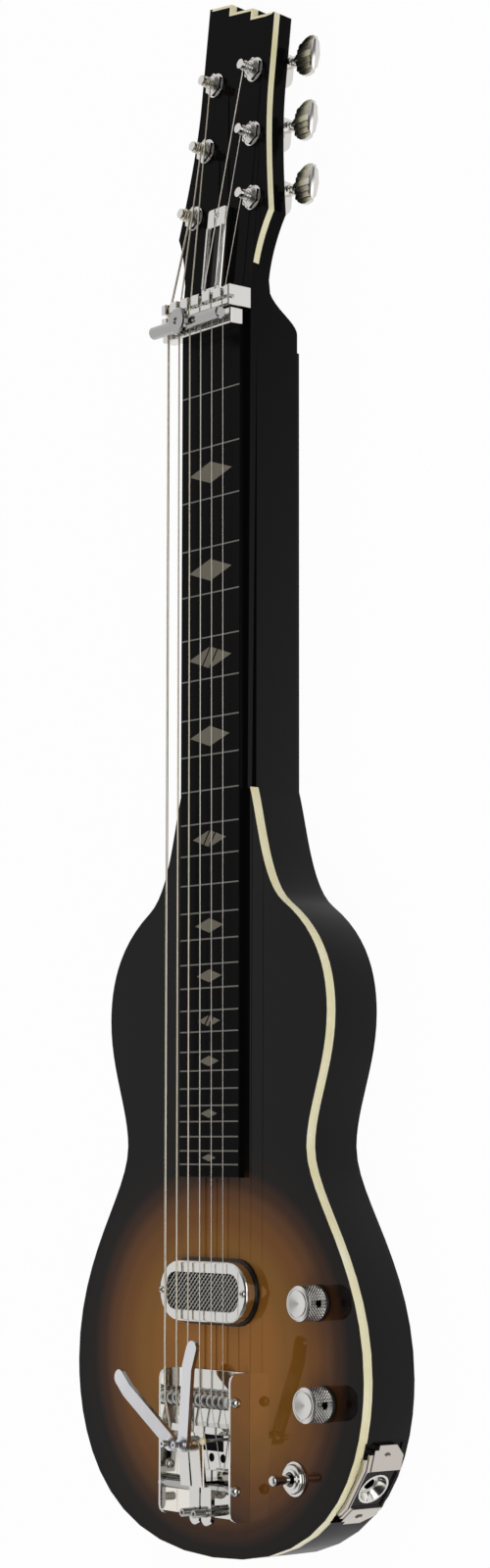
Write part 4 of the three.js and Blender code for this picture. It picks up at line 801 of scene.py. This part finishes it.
# %% Bridge and benders
finished("bridge_base", chrome, round_by=0.25)
finished("saddle_bar", steel, round_by=0.1)
finished("string_anchor", chrome, round_by=0.2)
finished("bender_axle", dark_chrome, round_by=0.2)
for side_name in ("left", "right"):
    finished(f"{side_name}_crank", chrome, round_by=0.3)
    finished(f"{side_name}_stop_screw", steel, round_by=0.2)
    finished(f"{side_name}_lever", lever_chrome, round_by=0.18, sharp=30)
print("levers: 2")

# %% [markdown]
# ## Turned pieces
# Screw heads, rings and knobs are all turned on a lathe. Blender has a screw modifier for that,
# but it can't cut a knurl. So one helper spins a profile of radius and height round any axis. It
# takes the foot of the axis, its direction, and an optional function that moves a corner in or
# out, which is how a knurl is cut.

# %% The helper for turned pieces
NEARLY_UPRIGHT = 0.99


def spun(foot, axis, profile, sides, relief=None):
    axis = axis.normalized()
    upright = abs(axis.z) > NEARLY_UPRIGHT
    across = Vector((1, 0, 0)) if upright else axis.orthogonal().normalized()
    third = axis.cross(across)
    corners, faces = [], []
    for row, (radius, height) in enumerate(profile):
        for i in range(sides):
            angle = 2 * math.pi * i / sides
            depth = relief(angle, height) if relief else 0
            out = (radius - depth) * MM
            corners.append(foot + axis * height * MM
                           + across * math.cos(angle) * out + third * math.sin(angle) * out)
        if row:
            low, high = (row - 1) * sides, row * sides
            faces += [(low + i, low + (i + 1) % sides, high + (i + 1) % sides, high + i)
                      for i in range(sides)]
    faces.append(tuple(reversed(range(sides))))
    top = (len(profile) - 1) * sides
    faces.append(tuple(range(top, top + sides)))
    return corners, faces


print("corners of a spun ring:", len(spun(at(0, 0), Vector((0, 0, 1)), [(1, 0), (1, 1)], 8)[0]))

# %% [markdown]
# ## The knurl of the knobs
# A knurl is rolled into the barrel of a knob by two toothed wheels that slant opposite ways. A
# bump in the material could fake it, but the outline of the knob would stay smooth. Here the
# corners themselves move in where two sets of slanting grooves cross. In the same way a hole for
# the set screw is sunk into the side.

# %% The knurl and the set-screw hole
KNOB_RADIUS = 9.75
KNURL_LOW = 3
KNURL_HIGH = 14.2
KNURL_DEPTH = 0.6
KNURLS = 34
KNURL_SLANT = 1.0
SCREW_HOLE = 1.9
SCREW_HOLE_DEPTH = 3.4
SCREW_HOLE_AT = 8.4
SCREW_HOLE_ANGLE = math.radians(1)


def groove(turns):
    return 1 - abs(2 * (turns % 1) - 1)


def knurl(angle, height):
    if height < KNURL_LOW or height > KNURL_HIGH:
        return 0
    around = angle * KNURLS / (2 * math.pi)
    along = height * KNURLS / (2 * math.pi * KNOB_RADIUS) * KNURL_SLANT
    away = (angle - SCREW_HOLE_ANGLE + math.pi) % (2 * math.pi) - math.pi
    if math.hypot(away * KNOB_RADIUS, height - SCREW_HOLE_AT) < SCREW_HOLE:
        return SCREW_HOLE_DEPTH
    return KNURL_DEPTH * max(groove(around + along), groove(around - along)) - KNURL_DEPTH / 2


print("knurls round a knob:", KNURLS, "and the screw hole goes in by", knurl(0, SCREW_HOLE_AT), "mm")

# %% [markdown]
# ## The profile of a knob
# Above the knurl a knob has a plain rim, a step and a shallow dish that runs to a point. It could
# be stacked from several cylinders, but their seams would catch the light. One profile from the
# foot to the middle of the dish has no seams, and the barrel gets many rows for the knurl.

# %% The profile of a knob
KNOB_LIFT = 2.7
KNOB_TOP = 16
KNURL_ROWS = 38


def knob_profile():
    """Radius and height in mm, up the barrel, over the rim and down into the dish."""
    heights = [KNURL_LOW + (KNURL_HIGH - KNURL_LOW) * i / KNURL_ROWS for i in range(KNURL_ROWS + 1)]
    barrel = [(KNOB_RADIUS - KNURL_DEPTH / 2, height) for height in heights]
    return [
        (3.2, KNOB_LIFT), (KNOB_RADIUS - 0.9, KNOB_LIFT), *barrel,
        (KNOB_RADIUS - 0.3, KNURL_HIGH + 0.2), (KNOB_RADIUS - 0.3, KNOB_TOP - 1.1),
        (KNOB_RADIUS - 1.2, KNOB_TOP - 0.3), (7.9, KNOB_TOP - 0.3), (7.7, KNOB_TOP - 0.8),
        (7.1, KNOB_TOP - 0.8), (6.9, KNOB_TOP), (6.4, KNOB_TOP), (0.2, KNOB_TOP - 1.6),
    ]


print("rows of a knob:", len(knob_profile()), "up to", KNOB_TOP, "mm")

# %% [markdown]
# ## Knobs
# Both knobs are chrome, but shadow gathers in the bottoms of the grooves and fills the hole for
# the set screw. That could come from the light alone, but the grooves are too fine for it, so the
# shade is painted: the bottoms get a darker chrome, and the hole gets black enamel. A rubber ring
# lies under each knob, and it is spun as well.

# %% Knobs
UPWARD = Vector((0, 0, 1))
KNOB_SIDES = 240
GROOVE_RADIUS = KNOB_RADIUS - 0.42
HOLE_RADIUS = KNOB_RADIUS - 1
RING_SIDES = 64
RING = [(7.6, 0.1), (9.0, 0.1), (9.6, 0.7), (9.8, 1.4), (9.6, 2.1), (9.0, 2.6), (7.6, 2.6), (7.6, 0.1)]


def paint_groove_shade(knob, x, y):
    """Painted shade: the bottoms of the knurl get a darker chrome than its tips, and the screw hole
    black enamel.
    """
    knob.data.materials.append(painted_shade_chrome)
    knob.data.materials.append(black_enamel)
    foot = at(x, y)
    for face in knob.data.polygons:
        radius = math.hypot(face.center.x - foot.x, face.center.y - foot.y) / MM
        height = (face.center.z - foot.z) / MM
        # painted shade: knurl bottoms get the darker chrome, and the deep faces of the set-screw hole
        # black enamel
        if KNURL_LOW < height < KNURL_HIGH and radius < GROOVE_RADIUS:
            face.material_index = 1 if radius > HOLE_RADIUS else 2


def dress_knob(name, x, y, body):
    corners, faces = spun(at(x, y), UPWARD, knob_profile(), KNOB_SIDES, knurl)
    knob = new_piece(f"{name}_knurled", corners, faces, satin_chrome, body, smooth=28)
    paint_groove_shade(knob, x, y)
    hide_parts(name)
    corners, faces = spun(at(x, y), UPWARD, RING, RING_SIDES)
    new_piece(f"{name}_ring", corners, faces[:-2], rubber, body, smooth=60)


dress_knob("volume_knob", 91, -547, "volume_control")
dress_knob("tone_knob", 96, -600, "tone_control")

# %% [markdown]
# ## Wires in the pickup's window
# The window of the pickup cover holds a fine steel mesh, in which two families of round wires
# cross at a slant. A picture with see-through holes would be lighter, but it has no thickness.
# Here every wire is real. The window has rounded ends, so a helper walks along each slanting line
# and keeps the first and the last point that lie inside.

# %% Where a wire starts and ends
WINDOW_HALF_LENGTH = 33.4
WINDOW_HALF_WIDTH = 12
WINDOW_CORNER = 8.5
WINDOW_STEPS = 240
MESH_PITCH_X = 3.2
MESH_PITCH_Y = 3.2


def in_window(x, y):
    past_x = max(abs(x) - (WINDOW_HALF_LENGTH - WINDOW_CORNER), 0)
    past_y = max(abs(y) - (WINDOW_HALF_WIDTH - WINDOW_CORNER), 0)
    return math.hypot(past_x, past_y) <= WINDOW_CORNER


def wire_ends(start, slant):
    """Both ends of a wire that crosses the window's middle line at start."""
    inside = []
    for step in range(-WINDOW_STEPS, WINDOW_STEPS + 1):
        y = WINDOW_HALF_WIDTH * step / WINDOW_STEPS
        x = start + slant * y * MESH_PITCH_X / MESH_PITCH_Y
        if in_window(x, y):
            inside.append((x, y))
    return (inside[0], inside[-1]) if len(inside) > 2 else None


print("middle wire:", wire_ends(0, 1))

# %% [markdown]
# ## Pickup grille
# Each wire could be a piece of its own, but none of them ever moves alone. So every wire becomes
# a line in one curve, and the bevel of the curve makes them all round. The two families lie at
# different heights, so that they cross without running through each other.

# %% Pickup grille
PICKUP_AT = -544
WIRE_RADIUS = 0.32
LOWER_WIRE_SHARE = 0.7
MESH_HEIGHT = 7.0


def grille_curve():
    curve = bpy.data.curves.new("pickup_mesh", "CURVE")
    curve.dimensions = "3D"
    curve.bevel_depth = WIRE_RADIUS * MM
    curve.bevel_resolution = 1
    reach = WINDOW_HALF_LENGTH + WINDOW_HALF_WIDTH * MESH_PITCH_X / MESH_PITCH_Y
    count = int(reach / MESH_PITCH_X)
    for slant in (-1, 1):
        for number in range(-count, count + 1):
            ends = wire_ends(number * MESH_PITCH_X, slant)
            if not ends:
                continue
            spline = curve.splines.new("POLY")
            spline.points.add(1)
            for point, (x, y) in zip(spline.points, ends):
                place = at(x, PICKUP_AT + y, MESH_HEIGHT + slant * WIRE_RADIUS)
                point.co = (*place, 1)
                point.radius = 1 if slant > 0 else LOWER_WIRE_SHARE
    return curve


curve = grille_curve()
weave = bpy.data.objects.new("pickup_mesh", curve)
bpy.context.collection.objects.link(weave)
curve.materials.append(mesh_steel)
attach(weave, "guitar_frame")
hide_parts("pickup_grille")
print("wires:", len(curve.splines))

# %% [markdown]
# ## Screw heads
# Small domed screws hold the pickup cover, the rod cover and the inner wall of the bridge, and
# larger ones hold the saddle bar and the axle from both sides. A screw could be a rounded
# cylinder, but what shows that it is a screw is the dark socket in its head. So the profile goes
# up over the dome and then down into the socket.

# %% Screws
DOME_ANGLES = (0, 25, 50, 65)
DOME_FOOT = 0.25
SOCKET_SHARE = 0.45
SCREW_SIDES = 24


def dome(radius, height):
    """A domed head with a socket sunk into it."""
    arc = []
    for angle in map(math.radians, DOME_ANGLES):
        arc.append((radius * math.cos(angle), height * (DOME_FOOT + (1 - DOME_FOOT) * math.sin(angle))))
    inner = radius * SOCKET_SHARE
    socket = [(inner, arc[-1][1]), (inner * 0.9, height * 0.35), (inner * 0.4, height * 0.3)]
    return [(radius, 0), *arc, *socket]


def screw(name, foot, axis, radius, height):
    corners, faces = spun(foot, axis, dome(radius, height), SCREW_SIDES)
    return new_piece(name, corners, faces, chrome, "guitar_frame", smooth=45)


for label, x in (("left", -36.2), ("right", 36.2)):
    screw(f"pickup_screw_{label}", at(x, PICKUP_AT, 8.3), UPWARD, 2.1, 1.8)
HEAD_UP = (on_head(0, 0, 1) - on_head(0, 0, 0)).normalized()
screw("rod_cover_screw", on_head(0, 49.4, 5.0), HEAD_UP, 2.0, 1.0)
screw("bridge_wall_screw", at(-30.3, -640, 6.8), Vector((1, 0, 0)), 2.6, 1.6)
for place, y in (("saddle", -602.8), ("axle", -650)):
    for side_name, sign in (("bass", -1), ("treble", 1)):
        foot = at(32 * sign, y, 10.1)
        screw(f"{place}_screw_{side_name}", foot, Vector((sign, 0, 0)), 2.9, 2.7)
print("screws: 8")

# %% [markdown]
# ## Dark sheet under the bridge
# Under the bridge lies a hollow, which shows dark through the window in the bridge's base. A thin
# black sheet stands in for that shade: it is painted shade, laid inside the bridge's foot. A dark
# stripe in the lacquer would look alike from above only, so it is a real sheet, a tenth of a
# millimetre thick.

# %% Dark sheet under the bridge, as painted shade
SHADE_SHEET_HALF = 30.5
SHADE_SHEET_SPAN = (-589, -665)
SHADE_SHEET_CORNER = 3
SHADE_SHEET_LOW, SHADE_SHEET_HIGH = 0.01, 0.12
CORNER_STEPS = 4


def shade_sheet_outline():
    outline = []
    low, high = min(SHADE_SHEET_SPAN) + SHADE_SHEET_CORNER, max(SHADE_SHEET_SPAN) - SHADE_SHEET_CORNER
    across = SHADE_SHEET_HALF - SHADE_SHEET_CORNER
    for quarter, (x, y) in enumerate([(across, high), (-across, high), (-across, low), (across, low)]):
        for step in range(CORNER_STEPS + 1):
            angle = math.radians(90 * quarter + 90 * step / CORNER_STEPS)
            outline.append((x + SHADE_SHEET_CORNER * math.cos(angle), y + SHADE_SHEET_CORNER * math.sin(angle)))
    return outline


# painted shade: a thin black sheet for the shade in the hollow under the bridge
corners, faces = slab(shade_sheet_outline(), SHADE_SHEET_LOW, SHADE_SHEET_HIGH)
new_piece("bridge_shade_sheet", corners, faces, foam, "guitar_frame")
print("gasket corners:", len(corners))

# %% [markdown]
# ## Cream cap
# A small cream cap sits on a thin stem beside the palm levers. Both are turned, so the helper
# that spins a profile makes them, and no shape of Blender's has to be stretched to fit.

# %% Cream cap on its stem
CAP_FOOT = at(22.4, -623)
STEM = [(0.9, 1.6), (0.9, 23.5), (1.3, 23.5), (1.3, 24.2)]
CAP = [(1.2, 24.2), (1.8, 24.2), (2.1, 24.9), (2.0, 25.8), (1.5, 26.5), (0.6, 26.8)]

corners, faces = spun(CAP_FOOT, UPWARD, STEM, 16)
new_piece("cap_stem", corners, faces, dark_chrome, "guitar_frame", smooth=45)
corners, faces = spun(CAP_FOOT, UPWARD, CAP, 24)
new_piece("stem_cap", corners, faces, cream, "guitar_frame", smooth=50)
print("cap on a stem at", CAP_FOOT)

# %% [markdown]
# ## Jack plate
# The recessed square round the jack is enamelled black, while the dish and the plate are chrome.
# The slanting faces of the two plate screws get painted shade, a darker chrome, so that the heads
# show. The square could be a piece of its own, but it belongs to the plate. So its faces are found
# by how close they lie to the axis of the jack, and those of the screws by their slant, their size
# and their place.

# %% Black enamel and dark screws in the jack plate
JACK_OUT = Vector((0.816905, -0.576772, 0))
JACK_MIDDLE = Vector((0.114530, -0.400083, 0.0183))
JACK_ALONG = Vector((0.576772, 0.816905, 0))
ENAMEL_REACH = 8.6
PLATE_BEND = math.radians(18)
PLATE_SCREW_AT = 20.4
PLATE_SCREW_DROP = 0.5
PLATE_SCREW_REACH = 4
SMALL_FACE = 3 * MM * MM
SLANT_LOW, SLANT_HIGH = 0.5, 0.95


def from_axis(point, middle):
    """Distance in mm from a line through the middle, square to the plate."""
    away = point - middle
    return (away - JACK_OUT * away.dot(JACK_OUT)).length / MM


def on_screw(face, side):
    """The slanting faces of a screw's head, at one end of the plate."""
    end = JACK_OUT * math.cos(PLATE_BEND) + JACK_ALONG * side * math.sin(PLATE_BEND)
    middle = JACK_MIDDLE + JACK_ALONG * side * PLATE_SCREW_AT * MM
    middle.z -= PLATE_SCREW_DROP * MM
    slanting = SLANT_LOW < face.normal.dot(end) < SLANT_HIGH
    return slanting and face.area < SMALL_FACE and from_axis(face.center, middle) < PLATE_SCREW_REACH


def paint_plate(piece):
    piece.data.materials.append(black_enamel)
    piece.data.materials.append(painted_shade_chrome)
    for face in piece.data.polygons:
        if from_axis(face.center, JACK_MIDDLE) < ENAMEL_REACH:
            face.material_index = 1
        # painted shade: the slanting faces of the two screws get the darker chrome
        elif on_screw(face, -1) or on_screw(face, 1):
            face.material_index = 2
    print("screw faces:", sum(face.material_index == 2 for face in piece.data.polygons))


paint_plate(bpy.data.objects["jack_plate_finished"])

# %% [markdown]
# ## The floor
# The floor stands for plain white paper. Paper that only the lamps light comes out grey or
# uneven, so the camera, mirrors and glass see this one nearly white by its own glow. A small part
# of its brightness is left to the lamps, so that the guitar keeps its soft shadow.

# %% The floor
FLOOR_GREY = (0.82, 0.82, 0.82, 1)
FLOOR_ROUGHNESS = 0.9
FLOOR_GLOW = 0.965


def floor_material():
    material = bpy.data.materials.new("pale_floor")
    material.use_nodes = True
    tree = material.node_tree
    shader = tree.nodes["Principled BSDF"]
    shader.inputs["Base Color"].default_value = FLOOR_GREY
    shader.inputs["Roughness"].default_value = FLOOR_ROUGHNESS
    shader.inputs["Specular IOR Level"].default_value = 0
    glow = tree.nodes.new("ShaderNodeEmission")
    glow.inputs["Strength"].default_value = 1
    path = tree.nodes.new("ShaderNodeLightPath")
    seen = path.outputs["Is Camera Ray"]
    for way in ("Is Glossy Ray", "Is Transmission Ray"):
        seen = add_math(tree, "MAXIMUM", seen, path.outputs[way])
    mix = tree.nodes.new("ShaderNodeMixShader")
    tree.links.new(add_math(tree, "MULTIPLY", seen, FLOOR_GLOW), mix.inputs["Fac"])
    tree.links.new(shader.outputs["BSDF"], mix.inputs[1])
    tree.links.new(glow.outputs["Emission"], mix.inputs[2])
    tree.links.new(mix.outputs["Shader"], tree.nodes["Material Output"].inputs["Surface"])
    return material


FLOOR_HALF = 12
mesh = bpy.data.meshes.new("floor")
mesh.from_pydata([(-FLOOR_HALF, -FLOOR_HALF, 0), (FLOOR_HALF, -FLOOR_HALF, 0),
                  (FLOOR_HALF, FLOOR_HALF, 0), (-FLOOR_HALF, FLOOR_HALF, 0)], [], [(0, 1, 2, 3)])
mesh.materials.append(floor_material())
floor = bpy.data.objects.new("floor", mesh)
bpy.context.collection.objects.link(floor)
print("floor:", 2 * FLOOR_HALF, "metres wide")

# %% [markdown]
# ## The sky
# Chrome and lacquer are made of what they mirror, so the sky matters more than the lamps. A
# photograph of a studio could be wrapped round the scene, but two grey ramps say enough. One runs
# across the guitar: bright on the bass side, so that the lacquer and the flat chrome mirror a
# pale wall, and dark behind the camera, so that the chrome keeps its dark edges. The other runs
# upwards and darkens overhead.

# %% The sky
SKY_ACROSS = [(0.0, 0.95), (0.3, 0.88), (0.55, 0.3), (0.72, 0.12), (1.0, 0.3)]
SKY_UPWARDS = [(0.0, 0.95), (0.4, 1.0), (0.74, 0.95), (0.84, 0.3), (1.0, 0.15)]


def ramp_of(tree, source, stops):
    ramp = tree.nodes.new("ShaderNodeValToRGB")
    while len(ramp.color_ramp.elements) < len(stops):
        ramp.color_ramp.elements.new(0.5)
    for element, (position, grey) in zip(ramp.color_ramp.elements, stops):
        element.position = position
        element.color = (grey, grey, grey, 1)
    tree.links.new(source, ramp.inputs["Fac"])
    return ramp.outputs["Color"]


def studio_sky():
    world = bpy.data.worlds.new("studio_sky")
    world.use_nodes = True
    tree = world.node_tree
    place = tree.nodes.new("ShaderNodeTexCoord")
    parts = tree.nodes.new("ShaderNodeSeparateXYZ")
    tree.links.new(place.outputs["Generated"], parts.inputs["Vector"])
    sideways = add_math(tree, "MULTIPLY_ADD", parts.outputs["X"], 0.5)
    sideways.node.inputs[2].default_value = 0.5
    across = ramp_of(tree, sideways, SKY_ACROSS)
    up = ramp_of(tree, parts.outputs["Z"], SKY_UPWARDS)
    both = tree.nodes.new("ShaderNodeMix")
    both.data_type = "RGBA"
    both.blend_type = "MULTIPLY"
    both.inputs["Factor"].default_value = 1
    tree.links.new(across, both.inputs["A"])
    tree.links.new(up, both.inputs["B"])
    tree.links.new(both.outputs["Result"], tree.nodes["Background"].inputs["Color"])
    return world


bpy.context.scene.world = studio_sky()
print("sky:", bpy.context.scene.world.name)

# %% [markdown]
# ## Soft lamps
# A sun or a point lamp would draw a sharp shadow beside the guitar. Studio lamps are wide, and
# the wider a lamp is, the softer its shadow gets, so three wide round lamps are used. Only the
# one at the side may show in polished metal.

# %% Soft lamps
def soft_lamp(name, place, size, power, mirrored=False):
    """A lamp that polished metal mirrors only where that is wanted."""
    light = bpy.data.lights.new(name, "AREA")
    light.shape = "DISK"
    light.size = size
    light.energy = power
    lamp = bpy.data.objects.new(name, light)
    bpy.context.collection.objects.link(lamp)
    lamp.location = place
    lamp.rotation_euler = (-Vector(place)).to_track_quat("-Z", "Y").to_euler()
    lamp.visible_glossy = mirrored
    return lamp


soft_lamp("key_lamp", (0.7, -1.3, 2.0), 1.2, 14)
soft_lamp("fill_lamp", (0.4, 1.4, 1.9), 1.2, 8)
soft_lamp("side_lamp", (2.0, -0.1, 0.55), 2.6, 24, mirrored=True)
print("lamps: 3")

# %% [markdown]
# ## Finishing
# The view layer is updated once more, so that the places of the last pieces are up to date.

# %% Finish
bpy.context.view_layer.update()
